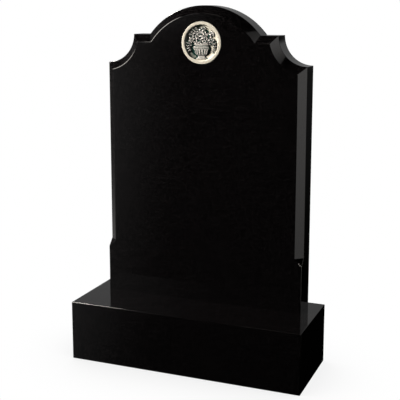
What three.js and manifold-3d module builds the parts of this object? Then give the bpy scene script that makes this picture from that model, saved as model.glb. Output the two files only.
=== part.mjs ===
// An upright headstone in polished black granite: a base block, a tablet with an arched
// top and a stopped chamfer, and a round flower medallion let into the tablet's face.
// Millimetres, +Z up. The origin is the middle of the base's underside, the carved face
// looks along -Y and +X is to the right of someone who reads it.

import * as THREE from 'three';
import { ConvexGeometry } from 'three/addons/geometries/ConvexGeometry.js';
import { mergeVertices } from 'three/addons/utils/BufferGeometryUtils.js';
import Module from 'manifold-3d';

const wasm = await Module();
wasm.setup();

// The base block
const baseWidth = 813;
const baseDepth = 302;
const baseHeight = 203;

// The tablet's outline
const tabletWidth = 708;
const tabletHeight = 1004;
const tabletThickness = 96;
const tabletSetback = 183; // from the base's front to the tablet's face
const scotiaRadius = 97; // hollow quarter circle cut out of each shoulder
const ledgeWidth = 61; // level ledge between the scotia and the arch
const archRise = 96; // from the ledge to the top of the arch

// The chamfer round the tablet's face, and the splayed stop that ends it above the base
const chamferOnFace = 26;
const chamferOnSide = 24;
const stopTipHeight = 157;
const stopLength = 26;

// The small flats that take the sharpness off each polished edge
const arris = 2;

// The medallion
const medallionRadius = 70;
const medallionThickness = 14;
const medallionProud = 2;
const medallionDrop = 121.5; // from the top of the arch to the medallion's middle
const rimWidth = 11;
const rimRound = 1.6;
const dishDepth = 8;
const coveWidth = 13; // how far in from the rim the dish reaches its full depth
const reliefHeight = 7; // of the tallest flower above the dish
const reliefRoot = 2; // how far the relief's shapes reach into the dish's wall

// Clearances
const bedJoint = 0.3; // between the base and the tablet
const medallionGap = 0.3; // round and behind the medallion

// Fineness of the round forms
const scotiaSteps = 16;
const archSteps = 44;
const chamferSteps = 3;
const rimSteps = 64;
const rimRoundSteps = 2;
const coveSteps = 5;
const urnSteps = 28;
const bowlSteps = 4;

// Worked out from the sizes above
const halfTablet = tabletWidth / 2;
const ledgeHeight = tabletHeight - archRise;
const archHalfWidth = halfTablet - scotiaRadius - ledgeWidth;
const archRadius = (archHalfWidth ** 2 + archRise ** 2) / (2 * archRise);
const archCentre = tabletHeight - archRadius;
const tabletFace = -baseDepth / 2 + tabletSetback;
const tabletBed = baseHeight + bedJoint;
const medallionMiddle = tabletHeight - medallionDrop;
const dishRadius = medallionRadius - rimWidth;
const dishFloor = medallionProud - dishDepth;
const medallionBack = medallionProud - medallionThickness;

// Cutting and joining of closed solids

function toSolid(geometry) {
  const bare = geometry.index ? geometry.toNonIndexed() : geometry.clone();
  bare.deleteAttribute('normal');
  bare.deleteAttribute('uv');
  const merged = mergeVertices(bare, 1e-4);
  const index = merged.index.array;
  const corners = [];
  for (let i = 0; i < index.length; i += 3) {
    const [a, b, c] = [index[i], index[i + 1], index[i + 2]];
    if (a !== b && b !== c && c !== a) corners.push(a, b, c);
  }
  const mesh = new wasm.Mesh({
    numProp: 3,
    vertProperties: new Float32Array(merged.attributes.position.array),
    triVerts: new Uint32Array(corners),
  });
  mesh.merge();
  return new wasm.Manifold(mesh);
}

function toGeometry(solid) {
  const mesh = solid.getMesh();
  const geometry = new THREE.BufferGeometry();
  geometry.setAttribute('position', new THREE.BufferAttribute(mesh.vertProperties, 3));
  geometry.setIndex(new THREE.BufferAttribute(mesh.triVerts, 1));
  geometry.computeVertexNormals();
  return geometry;
}

function joinAll(geometries) {
  return geometries.map(toSolid).reduce((whole, next) => whole.add(next));
}

function between(start, end, share) {
  return start + (end - start) * share;
}

// A block with a flat taken off every edge

function blockWithArrises(width, depth, height, flat) {
  const points = [];
  for (const x of [-1, 1]) {
    for (const y of [-1, 1]) {
      for (const z of [-1, 1]) {
        for (let along = 0; along < 3; along += 1) {
          const cut = [flat, flat, flat];
          cut[along] = 0;
          points.push(new THREE.Vector3(
            x * (width / 2 - cut[0]),
            y * (depth / 2 - cut[1]),
            height / 2 + z * (height / 2 - cut[2]),
          ));
        }
      }
    }
  }
  return new ConvexGeometry(points);
}

// The tablet's outline, seen from the front, drawn in by any amount. Each station knows
// where it lies for a given inset, and how much of the chamfer it has: none at the foot,
// all of it above the stop.

function sideStation(side, height, chamferShare) {
  return {
    chamferShare,
    at: (inset) => [side * (halfTablet - inset), height],
  };
}

function scotiaStation(side, share) {
  return {
    chamferShare: 1,
    at: (inset) => {
      const radius = scotiaRadius + inset;
      const first = Math.asin(inset / radius);
      const angle = between(first, Math.PI / 2 - first, share);
      return [
        side * (halfTablet - radius * Math.sin(angle)),
        ledgeHeight - radius * Math.cos(angle),
      ];
    },
  };
}

function archStation(side, share) {
  return {
    chamferShare: 1,
    at: (inset) => {
      const radius = archRadius - inset;
      const foot = Math.acos((ledgeHeight - inset - archCentre) / radius);
      const angle = foot * share;
      return [side * radius * Math.sin(angle), archCentre + radius * Math.cos(angle)];
    },
  };
}

function halfOutline(side) {
  const stations = [
    sideStation(side, 0, 0),
    sideStation(side, stopTipHeight, 0),
    sideStation(side, stopTipHeight + stopLength, 1),
  ];
  for (let step = 0; step <= scotiaSteps; step += 1) {
    stations.push(scotiaStation(side, step / scotiaSteps));
  }
  for (let step = archSteps / 2; step > 0; step -= 1) {
    stations.push(archStation(side, step / (archSteps / 2)));
  }
  return stations;
}

function tabletOutline() {
  return [...halfOutline(1), archStation(1, 0), ...halfOutline(-1).reverse()];
}

// The section across the tablet's edge, from its face to its back, as pairs of inset and
// depth. Where the chamfer is stopped, only the small arris is left of it.

function edgeSection(chamferShare) {
  const onFace = between(arris, chamferOnFace, chamferShare);
  const onSide = between(arris, chamferOnSide, chamferShare);
  const flat = (arris / Math.hypot(onFace, onSide)) * chamferShare;
  const section = [[onFace + arris * chamferShare, 0]];
  for (let step = 0; step <= chamferSteps; step += 1) {
    const share = between(flat, 1 - flat, step / chamferSteps);
    section.push([onFace * (1 - share), onSide * share]);
  }
  section.push([0, onSide + arris * chamferShare]);
  section.push([0, tabletThickness - arris]);
  section.push([arris, tabletThickness]);
  return section;
}

function tabletBlank() {
  const stations = tabletOutline();
  const rings = edgeSection(1).map((_, level) => stations.map((station) => {
    const [inset, depth] = edgeSection(station.chamferShare)[level];
    const [x, z] = station.at(inset);
    return new THREE.Vector3(x, depth, z);
  }));
  const corners = [];
  const addTriangle = (a, b, c) => corners.push(...a.toArray(), ...b.toArray(), ...c.toArray());
  for (let level = 0; level + 1 < rings.length; level += 1) {
    const [near, far] = [rings[level], rings[level + 1]];
    for (let i = 0; i < near.length; i += 1) {
      const j = (i + 1) % near.length;
      addTriangle(near[i], far[j], near[j]);
      addTriangle(near[i], far[i], far[j]);
    }
  }
  const addCap = (ring, facesFront) => {
    const flat = ring.map((point) => new THREE.Vector2(point.x, point.z));
    for (const [a, b, c] of THREE.ShapeUtils.triangulateShape(flat, [])) {
      if (facesFront) addTriangle(ring[a], ring[b], ring[c]);
      else addTriangle(ring[a], ring[c], ring[b]);
    }
  };
  addCap(rings[0], true);
  addCap(rings.at(-1), false);
  const geometry = new THREE.BufferGeometry();
  geometry.setAttribute('position', new THREE.Float32BufferAttribute(corners, 3));
  return geometry;
}

function tabletGeometry() {
  const pocketDepth = medallionGap - medallionBack;
  const pocket = new THREE.CylinderGeometry(
    medallionRadius + medallionGap,
    medallionRadius + medallionGap,
    2 * pocketDepth,
    rimSteps,
  );
  pocket.translate(0, 0, medallionMiddle);
  return toGeometry(toSolid(tabletBlank()).subtract(toSolid(pocket)));
}

// The medallion is drawn flat, seen from the front: x to the right, y up and z out of the
// stone, with the stone's face at zero.

function medallionDisc() {
  const profile = [[0, medallionBack], [medallionRadius, medallionBack]];
  for (let step = 0; step <= rimRoundSteps; step += 1) {
    const angle = (step / rimRoundSteps) * (Math.PI / 2);
    profile.push([
      medallionRadius - rimRound * (1 - Math.cos(angle)),
      medallionProud - rimRound * (1 - Math.sin(angle)),
    ]);
  }
  for (let step = 0; step <= coveSteps; step += 1) {
    const angle = (step / coveSteps) * (Math.PI / 2);
    profile.push([
      dishRadius - coveWidth * (1 - Math.cos(angle)),
      medallionProud - dishDepth * Math.sin(angle),
    ]);
  }
  profile.push([0, dishFloor]);
  const disc = new THREE.LatheGeometry(
    profile.map(([radius, height]) => new THREE.Vector2(radius, height)),
    rimSteps,
  );
  return disc.rotateX(Math.PI / 2);
}

// The relief is a free form, so its places and sizes are shares of the dish's radius and
// its heights are shares of the relief's.

const petalFaces = [6, 4];
const bloomForm = {
  fullness: 3.7, // petal widths all round, over the flower's radius
  petalHeight: 0.7,
  innerFewer: 2,
  innerTurn: 0.4,
  innerReach: 0.64,
  innerHeight: 0.9,
  heartSize: 0.6,
};
const sprayForm = {
  splay: 0.8,
  tipSize: 0.7,
  leafGirth: 0.52,
  leafHeight: 0.8,
  budGirth: 0.4,
};
const trumpetForm = {
  tubeReach: 0.8,
  tubeGirth: 0.36,
  mouthAt: 0.5,
  lipSplay: 0.8,
  lipReach: 0.5,
  lipGirth: 0.32,
  lipHeight: 0.85,
};

// Cuts a round form off flat below, where it is rooted in the dish
function rooted(geometry) {
  const places = geometry.attributes.position;
  for (let i = 0; i < places.count; i += 1) {
    places.setZ(i, Math.max(places.getZ(i), -reliefRoot));
  }
  return geometry;
}

// A rounded lobe that starts at its root and points along its angle
function lobe({ x, y, angle = 0, reach, girth, height, lift = 0 }) {
  const shape = new THREE.SphereGeometry(1, ...petalFaces);
  shape.rotateX(Math.PI / 2);
  shape.scale((reach * dishRadius) / 2, (girth * dishRadius) / 2, height * reliefHeight);
  shape.translate((reach * dishRadius) / 2, 0, lift * reliefHeight);
  rooted(shape).rotateZ(angle);
  return shape.translate(x * dishRadius, y * dishRadius, dishFloor);
}

function ringOfLobes({ count, turn, ...petal }) {
  return Array.from(
    { length: count },
    (_, i) => lobe({ ...petal, angle: turn + (i * 2 * Math.PI) / count }),
  );
}

function heart({ x, y, size, height }) {
  return lobe({ x: x - size / 2, y, reach: size, girth: size, height });
}

// A flower is one or two rings of petals round a raised heart
function flower({ x, y, size, petals, height, rings = 1, turn = 0.3 }) {
  const form = bloomForm;
  const girth = (size * form.fullness) / petals;
  const parts = ringOfLobes({
    x,
    y,
    count: petals,
    turn,
    reach: size,
    girth,
    height: height * form.petalHeight,
  });
  if (rings > 1) {
    parts.push(...ringOfLobes({
      x,
      y,
      count: petals - form.innerFewer,
      turn: turn + form.innerTurn,
      reach: size * form.innerReach,
      girth,
      height: height * form.innerHeight,
    }));
  }
  parts.push(heart({ x, y, size: size * form.heartSize, height }));
  return parts;
}

// Leaves in pairs along a bowed stem that starts at x, y
function spray({ x, y, angle, bend, length, pairs, leaf, height }) {
  const form = sprayForm;
  const parts = [];
  for (let i = 0; i < pairs; i += 1) {
    const share = (i + 0.5) / pairs;
    const heading = angle + bend * share;
    const root = {
      x: x + length * share * Math.cos(angle + (bend * share) / 2),
      y: y + length * share * Math.sin(angle + (bend * share) / 2),
    };
    const size = leaf * between(1, form.tipSize, share);
    for (const side of [-1, 1]) {
      parts.push(lobe({
        ...root,
        angle: heading + side * form.splay,
        reach: size,
        girth: size * form.leafGirth,
        height: height * form.leafHeight,
      }));
    }
    parts.push(lobe({ ...root, angle: heading, reach: size, girth: size * form.budGirth, height }));
  }
  return parts;
}

// A vase-shaped flower seen from the side, on its stalk
function trumpet({ x, y, angle, length, height }) {
  const form = trumpetForm;
  const mouth = {
    x: x + length * form.mouthAt * Math.cos(angle),
    y: y + length * form.mouthAt * Math.sin(angle),
  };
  const tube = { x, y, angle, reach: length * form.tubeReach, girth: length * form.tubeGirth, height };
  const lips = [-1, 0, 1].map((side) => lobe({
    ...mouth,
    angle: angle + side * form.lipSplay,
    reach: length * form.lipReach,
    girth: length * form.lipGirth,
    height: height * form.lipHeight,
  }));
  return [lobe(tube), ...lips];
}

// Plain leaves that fan out behind the flowers, from one point above the urn
function fanOfLeaves({ x, y, start, end, count, inner, reach, girth, height }) {
  return Array.from({ length: count }, (_, i) => {
    const angle = between(start, end, i / (count - 1));
    const root = { x: x + inner * Math.cos(angle), y: y + inner * Math.sin(angle) };
    return lobe({ ...root, angle, reach, girth, height });
  });
}

const bouquet = [
  ...flower({ x: 0.16, y: 0.38, size: 0.26, petals: 7, height: 1, rings: 2 }),
  ...flower({ x: 0.34, y: 0.02, size: 0.23, petals: 8, height: 0.95, turn: 0.1 }),
  ...flower({ x: -0.25, y: 0.33, size: 0.2, petals: 5, height: 0.9 }),
  ...flower({ x: -0.2, y: 0.66, size: 0.18, petals: 5, height: 0.85, turn: 0.9 }),
  ...flower({ x: -0.6, y: 0.16, size: 0.2, petals: 6, height: 0.85 }),
  ...flower({ x: -0.03, y: 0.05, size: 0.18, petals: 5, height: 0.8, turn: 0.6 }),
  ...flower({ x: 0.13, y: 0.77, size: 0.16, petals: 5, height: 0.85, rings: 2 }),
  ...flower({ x: -0.33, y: 0.0, size: 0.15, petals: 5, height: 0.75 }),
  ...spray({ x: -0.62, y: 0.32, angle: 1.35, bend: -0.6, length: 0.5, pairs: 4, leaf: 0.22, height: 0.6 }),
  ...spray({ x: -0.8, y: 0.06, angle: -1.9, bend: 0.9, length: 0.5, pairs: 4, leaf: 0.17, height: 0.6 }),
  ...spray({ x: 0.62, y: 0.16, angle: -0.6, bend: -1.5, length: 0.58, pairs: 4, leaf: 0.17, height: 0.6 }),
  ...trumpet({ x: 0.4, y: 0.34, angle: 0.68, length: 0.42, height: 0.75 }),
  ...fanOfLeaves({
    x: 0,
    y: -0.1,
    start: 0.35,
    end: 2.6,
    count: 8,
    inner: 0.5,
    reach: 0.34,
    girth: 0.15,
    height: 0.5,
  }),
];

// The urn is half of a turned vase, flattened into the dish, with a gadrooned bowl
const urn = {
  x: -0.02,
  lip: -0.05,
  neck: -0.16,
  band: -0.19,
  bandFoot: -0.33,
  waist: -0.71,
  stem: -0.76,
  footTop: -0.83,
  foot: -0.9,
  lipGirth: 0.42,
  neckGirth: 0.38,
  bandGirth: 0.5,
  bowlGirth: 0.44,
  waistGirth: 0.22,
  stemGirth: 0.19,
  footGirth: 0.3,
  thickness: 0.8,
};
const gadroonForm = {
  count: 7,
  spread: 1.15, // radians to each side of the middle
  fullness: 2.7,
  rise: 0.22,
  lift: 0.08,
};

function urnGeometry() {
  const profile = [
    [0, urn.foot],
    [urn.footGirth, urn.foot],
    [urn.footGirth, urn.footTop],
    [urn.stemGirth, urn.stem],
  ];
  for (let step = 0; step <= bowlSteps; step += 1) {
    const angle = (step / bowlSteps) * (Math.PI / 2);
    profile.push([
      between(urn.waistGirth, urn.bowlGirth, Math.sin(angle)),
      between(urn.waist, urn.bandFoot, 1 - Math.cos(angle)),
    ]);
  }
  profile.push(
    [urn.bandGirth, urn.bandFoot],
    [urn.bandGirth, urn.band],
    [urn.neckGirth, urn.neck],
    [urn.lipGirth, urn.lip],
    [0, urn.lip],
  );
  const turned = new THREE.LatheGeometry(
    profile.map(([girth, height]) => new THREE.Vector2(girth, height)),
    urnSteps,
  );
  const depth = (urn.thickness * reliefHeight) / urn.bandGirth;
  turned.scale(dishRadius, dishRadius, depth);
  return rooted(turned).translate(urn.x * dishRadius, 0, dishFloor);
}

// Gadroons are the upright lobes that swell round the urn's bowl
function gadroons() {
  const form = gadroonForm;
  return Array.from({ length: form.count }, (_, i) => {
    const round = form.spread * between(-1, 1, i / (form.count - 1));
    const top = { x: urn.x + urn.bowlGirth * Math.sin(round), y: urn.bandFoot };
    const foot = { x: urn.x + urn.waistGirth * Math.sin(round), y: urn.waist };
    return lobe({
      ...top,
      angle: Math.atan2(foot.y - top.y, foot.x - top.x),
      reach: Math.hypot(foot.x - top.x, foot.y - top.y),
      girth: (form.fullness * urn.bowlGirth * Math.cos(round)) / form.count,
      height: (urn.thickness + form.rise) * Math.cos(round),
      lift: form.lift,
    });
  });
}

function medallionGeometry() {
  const relief = joinAll([...bouquet, urnGeometry(), ...gadroons()]);
  return toGeometry(toSolid(medallionDisc()).add(relief)).rotateX(Math.PI / 2);
}

// The finishes

const blackGranite = new THREE.MeshStandardMaterial({
  color: 0x0d0c0d,
  roughness: 0.06,
  metalness: 0,
});
const castMedallion = new THREE.MeshStandardMaterial({
  color: 0xd9ceb6,
  roughness: 0.45,
  metalness: 0,
});

// The headstone

const headstone = new THREE.Group();
headstone.name = 'headstone';

const base = new THREE.Mesh(
  blockWithArrises(baseWidth, baseDepth, baseHeight, arris),
  blackGranite,
);
base.name = 'base';
headstone.add(base);

const upright = new THREE.Group();
upright.position.set(0, tabletFace, tabletBed);
headstone.add(upright);

const tablet = new THREE.Mesh(tabletGeometry(), blackGranite);
tablet.name = 'tablet';
upright.add(tablet);

const medallion = new THREE.Mesh(medallionGeometry(), castMedallion);
medallion.name = 'medallion';
medallion.position.set(0, 0, medallionMiddle);
upright.add(medallion);

export default headstone;
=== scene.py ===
"""A polished black granite headstone with a cast flower medallion, dressed round its frame.

Metres, +Z up. The carved face looks along -Y and +X is to the right of someone who reads it.
"""

import logging
import math
from collections.abc import Callable, Iterable, Sequence
from dataclasses import dataclass, field
from enum import Enum

import bmesh
import bpy
from mathutils import Matrix, Vector


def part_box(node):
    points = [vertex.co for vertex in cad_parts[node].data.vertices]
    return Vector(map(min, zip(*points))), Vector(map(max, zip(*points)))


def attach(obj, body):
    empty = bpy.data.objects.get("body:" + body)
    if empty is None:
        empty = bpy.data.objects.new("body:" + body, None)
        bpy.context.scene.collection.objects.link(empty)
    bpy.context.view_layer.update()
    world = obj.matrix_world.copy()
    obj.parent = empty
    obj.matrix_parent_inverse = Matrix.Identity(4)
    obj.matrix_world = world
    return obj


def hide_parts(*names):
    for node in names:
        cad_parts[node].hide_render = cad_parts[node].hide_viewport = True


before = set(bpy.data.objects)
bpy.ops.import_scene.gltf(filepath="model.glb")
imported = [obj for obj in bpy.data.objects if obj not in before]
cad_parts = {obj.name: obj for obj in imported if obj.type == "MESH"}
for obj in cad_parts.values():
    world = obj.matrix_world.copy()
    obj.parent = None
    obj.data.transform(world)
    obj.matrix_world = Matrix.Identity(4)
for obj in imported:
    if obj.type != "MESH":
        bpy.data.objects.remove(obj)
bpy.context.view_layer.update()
BODY = "root"
PHOTO_WIDTH = 400
FULL_TURN = 2 * math.pi
QUARTER_TURN = math.pi / 2
TOUCH = 1e-5
FINE_GRID = 1e-7
MEDALLION_GAP = 0.0003
log = logging.getLogger("headstone")

Colour = tuple[float, float, float]
Point = tuple[float, float, float]
Range = tuple[float, float]
WHITE: Colour = (1.0, 1.0, 1.0)


def between(start: float, end: float, share: float) -> float:
    """Return the value that lies a share of the way from start to end."""
    return start + (end - start) * share


def ease(value: float, ends: Range) -> float:
    """Return a smooth step that is 0 at the first end and 1 at the second."""
    share = min(1.0, max(0.0, (value - ends[0]) / (ends[1] - ends[0])))
    return share * share * (3 - 2 * share)


def opaque(colour: Colour) -> tuple[float, float, float, float]:
    """Return a colour with full alpha."""
    return (*colour, 1.0)


# Node trees


class NodeSheet:
    """Adds nodes to a tree and joins them, in few words."""

    def __init__(self, tree: bpy.types.NodeTree) -> None:
        """Start on an emptied tree.

        Args:
            tree: The shader or geometry tree to fill.
        """
        self.tree = tree
        tree.nodes.clear()

    def add(self, kind: str, values: dict | None = None, **settings: object) -> bpy.types.Node:
        """Add one node.

        Args:
            kind: The node's type name.
            values: Input sockets by name or number, each with a value or a socket to join.
            settings: Properties of the node.

        Returns:
            The new node.
        """
        node = self.tree.nodes.new(kind)
        for name, setting in settings.items():
            setattr(node, name, setting)
        for name, value in (values or {}).items():
            socket = node.inputs[name]
            if isinstance(value, bpy.types.NodeSocket):
                self.tree.links.new(value, socket)
            else:
                socket.default_value = value
        return node

    def math(self, operation: str, *values: object) -> bpy.types.NodeSocket:
        """Add a Math node and return its result."""
        return self.add("ShaderNodeMath", dict(enumerate(values)), operation=operation).outputs[0]

    def vector(self, x: object = 0.0, y: object = 0.0, z: object = 0.0) -> bpy.types.NodeSocket:
        """Join three values into one vector and return it."""
        return self.add("ShaderNodeCombineXYZ", {0: x, 1: y, 2: z}).outputs[0]

    def ramp(
        self,
        value: object,
        source: Sequence[object],
        target: Sequence[object] = (0.0, 1.0),
        blend: str = "SMOOTHSTEP",
    ) -> bpy.types.NodeSocket:
        """Map a value from one range to another, and hold it at both ends.

        Args:
            value: The socket to map.
            source: The range it is read in.
            target: The range it is mapped to.
            blend: How it runs between the ends.

        Returns:
            The mapped value.
        """
        node = self.add(
            "ShaderNodeMapRange",
            {0: value, 1: source[0], 2: source[1], 3: target[0], 4: target[1]},
            interpolation_type=blend,
        )
        return node.outputs[0]

    def product(self, *factors: object) -> bpy.types.NodeSocket:
        """Multiply several values.

        Args:
            factors: The values or sockets to multiply.

        Returns:
            Their product.
        """
        whole = factors[0]
        for factor in factors[1:]:
            whole = self.math("MULTIPLY", whole, factor)
        return whole

    # A Mix node's sockets 2 and 3 are its plain values, and 6 and 7 its colours

    def choose(self, share: object, first: object, second: object) -> bpy.types.NodeSocket:
        """Mix two values by a share and return the result."""
        node = self.add("ShaderNodeMix", {0: share, 2: first, 3: second}, data_type="FLOAT")
        return node.outputs[0]

    def blend(self, share: object, first: object, second: object) -> bpy.types.NodeSocket:
        """Mix two colours by a share and return the result."""
        node = self.add("ShaderNodeMix", {0: share, 6: first, 7: second}, data_type="RGBA")
        return node.outputs[2]


def new_group(
    name: str, kind: str, inputs: Sequence[tuple], outputs: Sequence[tuple]
) -> NodeSheet:
    """Make an empty node group with named sockets.

    Args:
        name: The group's name.
        kind: ShaderNodeTree or GeometryNodeTree.
        inputs: Name, socket type and default value (or None) of each input.
        outputs: Name and socket type of each output.

    Returns:
        The sheet of the new group.
    """
    tree = bpy.data.node_groups.new(name, kind)
    for socket_name, socket_type, default in inputs:
        socket = tree.interface.new_socket(socket_name, in_out="INPUT", socket_type=socket_type)
        if default is not None:
            socket.default_value = default
    for socket_name, socket_type in outputs:
        tree.interface.new_socket(socket_name, in_out="OUTPUT", socket_type=socket_type)
    return NodeSheet(tree)


def mineral_grain() -> bpy.types.NodeTree:
    """Build the group that gives a close-grained stone its colour, polish and relief.

    Returns:
        A shader group with Ground, Fleck, Grain Size, Fleck Share, Polish and Flaw inputs,
        and Colour, Roughness and Height outputs.
    """
    known = bpy.data.node_groups.get("mineral_grain")
    if known:
        return known
    cloud_fineness = 0.04
    cloud_detail = 3.0
    cloud_tones = (0.3, 0.7)
    cloud_cover = (0.88, 1.0)
    fleck_edge = 0.12
    sheet = new_group(
        "mineral_grain",
        "ShaderNodeTree",
        [
            ("Ground", "NodeSocketColor", None),
            ("Fleck", "NodeSocketColor", None),
            ("Grain Size", "NodeSocketFloat", 0.0015),
            ("Fleck Share", "NodeSocketFloat", 0.2),
            ("Polish", "NodeSocketFloat", 0.04),
            ("Flaw", "NodeSocketFloat", 0.02),
        ],
        [
            ("Colour", "NodeSocketColor"),
            ("Roughness", "NodeSocketFloat"),
            ("Height", "NodeSocketFloat"),
        ],
    )
    given = sheet.add("NodeGroupInput").outputs
    place = sheet.add("ShaderNodeTexCoord").outputs["Object"]
    fineness = sheet.math("DIVIDE", 1.0, given["Grain Size"])
    crystals = sheet.add("ShaderNodeTexVoronoi", {"Vector": place, "Scale": fineness})
    tone = sheet.add("ShaderNodeSeparateColor", {0: crystals.outputs["Color"]}).outputs[0]
    cloud_scale = sheet.math("MULTIPLY", fineness, cloud_fineness)
    clouds = sheet.add(
        "ShaderNodeTexNoise",
        {"Vector": place, "Scale": cloud_scale, "Detail": cloud_detail},
    )
    threshold = sheet.math("SUBTRACT", 1.0, given["Fleck Share"])
    near = sheet.math("SUBTRACT", threshold, fleck_edge)
    fleck = sheet.ramp(tone, (near, threshold), blend="LINEAR")
    cloudy = sheet.ramp(clouds.outputs[0], cloud_tones, cloud_cover)
    amount = sheet.math("MULTIPLY", fleck, cloudy)
    colour = sheet.blend(amount, given["Ground"], given["Fleck"])
    rough = sheet.math("MULTIPLY_ADD", amount, given["Flaw"], given["Polish"])
    sheet.add("NodeGroupOutput", {"Colour": colour, "Roughness": rough, "Height": tone})
    return sheet.tree


# Finishes


def new_material(name: str) -> tuple[bpy.types.Material, NodeSheet]:
    """Make a material with an empty node sheet.

    Args:
        name: The material's name.

    Returns:
        The material and its sheet.
    """
    material = bpy.data.materials.new(name)
    material.use_nodes = True
    return material, NodeSheet(material.node_tree)


@dataclass(frozen=True)
class GraniteFinish:
    """One face finish of the black granite."""

    name: str
    ground: Colour = (0.001, 0.0008, 0.0009)
    fleck: Colour = (0.0165, 0.0148, 0.0156)
    grain_size: float = 0.0011
    fleck_share: float = 0.1
    polish: float = 0.035
    flaw: float = 0.02
    bump_strength: float = 0.02
    bump_height: float = 0.00004
    index: float = 1.56

    def build(self) -> bpy.types.Material:
        """Build the material from the shared mineral grain.

        Returns:
            The finished material.
        """
        material, sheet = new_material(self.name)
        grain = sheet.add(
            "ShaderNodeGroup",
            {
                "Ground": opaque(self.ground),
                "Fleck": opaque(self.fleck),
                "Grain Size": self.grain_size,
                "Fleck Share": self.fleck_share,
                "Polish": self.polish,
                "Flaw": self.flaw,
            },
            node_tree=mineral_grain(),
        )
        bump = sheet.add(
            "ShaderNodeBump",
            {
                "Strength": self.bump_strength,
                "Distance": self.bump_height,
                "Height": grain.outputs[2],
            },
        )
        surface = sheet.add(
            "ShaderNodeBsdfPrincipled",
            {
                "Base Color": grain.outputs[0],
                "Roughness": grain.outputs[1],
                "Normal": bump.outputs[0],
                "IOR": self.index,
            },
        )
        sheet.add("ShaderNodeOutputMaterial", {0: surface.outputs[0]})
        return material


POLISHED = GraniteFinish(name="polished_black_granite")
SAWN = GraniteFinish(
    name="sawn_black_granite",
    ground=(0.035, 0.034, 0.035),
    fleck=(0.09, 0.088, 0.086),
    fleck_share=0.35,
    polish=0.62,
    flaw=0.2,
    bump_strength=0.5,
    bump_height=0.0004,
)


@dataclass(frozen=True)
class CastFinish:
    """The medallion's finish: a cream ground, a silvered relief and dark green in its hollows, which
    is partly patina and partly painted shade.
    """

    name: str = "cast_medallion"
    cream: Colour = (0.76, 0.71, 0.60)
    silver: Colour = (0.86, 0.81, 0.77)
    # Dark green of the patina and of the painted shade in the hollows
    hollow: Colour = (0.001, 0.034, 0.026)
    stain: Colour = (0.42, 0.34, 0.22)
    # Dark olive of the painted shade that falls on the cream ground
    painted_shade: Colour = (0.16, 0.13, 0.07)
    grain_size: float = 0.0011
    grain_detail: float = 4.0
    grain_tones: Range = (0.3, 0.7)
    blotch_size: float = 0.0099
    blotch_detail: float = 3.0
    stain_tones: Range = (0.5, 0.8)
    stain_cover: float = 0.35
    shelter_reach: float = 0.007
    shelter_samples: int = 8
    painted_shade_shelter: Range = (0.3, 0.8)
    painted_shade_cover: float = 0.75
    hollow_shelter: Range = (0.3, 0.85)
    hollow_raggedness: float = 0.3
    hollow_edge: Range = (0.33, 0.66)
    roughness: Range = (0.28, 0.46)
    silver_sheen: float = 0.5
    bump_strength: float = 0.35
    bump_height: float = 0.00012

    def build(self) -> bpy.types.Material:
        """Build the material from the piece's relief mask and its hollow mask, which is partly
        patina and partly painted shade.

        Returns:
            The finished material.
        """
        material, sheet = new_material(self.name)
        place = sheet.add("ShaderNodeTexCoord").outputs["Object"]
        relief = sheet.add("ShaderNodeAttribute", attribute_name="relief").outputs["Fac"]
        hollow = sheet.add("ShaderNodeAttribute", attribute_name="hollow").outputs["Fac"]
        grain = sheet.add(
            "ShaderNodeTexNoise",
            {"Vector": place, "Scale": 1 / self.grain_size, "Detail": self.grain_detail},
        ).outputs[0]
        blotch = sheet.add(
            "ShaderNodeTexNoise",
            {"Vector": place, "Scale": 1 / self.blotch_size, "Detail": self.blotch_detail},
        ).outputs[0]
        stained = sheet.ramp(blotch, self.stain_tones, (0.0, self.stain_cover))
        ground = sheet.blend(stained, opaque(self.cream), opaque(self.stain))
        shelter = sheet.add(
            "ShaderNodeAmbientOcclusion",
            {"Distance": self.shelter_reach},
            samples=self.shelter_samples,
            only_local=True,
        ).outputs["AO"]
        # Painted shade: where ambient occlusion finds the ground sheltered, in the dish's cove and
        # beside the relief, the cream darkens towards a dark olive.
        painted_shade_share = sheet.ramp(shelter, self.painted_shade_shelter, (self.painted_shade_cover, 0.0))
        ground = sheet.blend(painted_shade_share, ground, opaque(self.painted_shade))
        body = sheet.blend(relief, ground, opaque(self.silver))
        # Painted shade: the relief goes to the dark green where ambient occlusion finds it
        # sheltered, added to the hollow mask's patina and painted shade.
        sheltered = sheet.ramp(shelter, self.hollow_shelter, (1.0, 0.0))
        depth = sheet.math("MAXIMUM", hollow, sheet.math("MULTIPLY", sheltered, relief))
        ragged = sheet.math("MULTIPLY_ADD", grain, self.hollow_raggedness, depth)
        dark = sheet.ramp(ragged, self.hollow_edge)
        colour = sheet.blend(dark, body, opaque(self.hollow))
        bare = sheet.math("MULTIPLY", relief, sheet.math("SUBTRACT", 1.0, dark))
        metallic = sheet.math("MULTIPLY", bare, self.silver_sheen)
        rough = sheet.ramp(grain, self.grain_tones, self.roughness)
        bump = sheet.add(
            "ShaderNodeBump",
            {"Strength": self.bump_strength, "Distance": self.bump_height, "Height": grain},
        )
        surface = sheet.add(
            "ShaderNodeBsdfPrincipled",
            {
                "Base Color": colour,
                "Metallic": metallic,
                "Roughness": rough,
                "Normal": bump.outputs[0],
            },
        )
        sheet.add("ShaderNodeOutputMaterial", {0: surface.outputs[0]})
        return material


# Meshes


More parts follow.
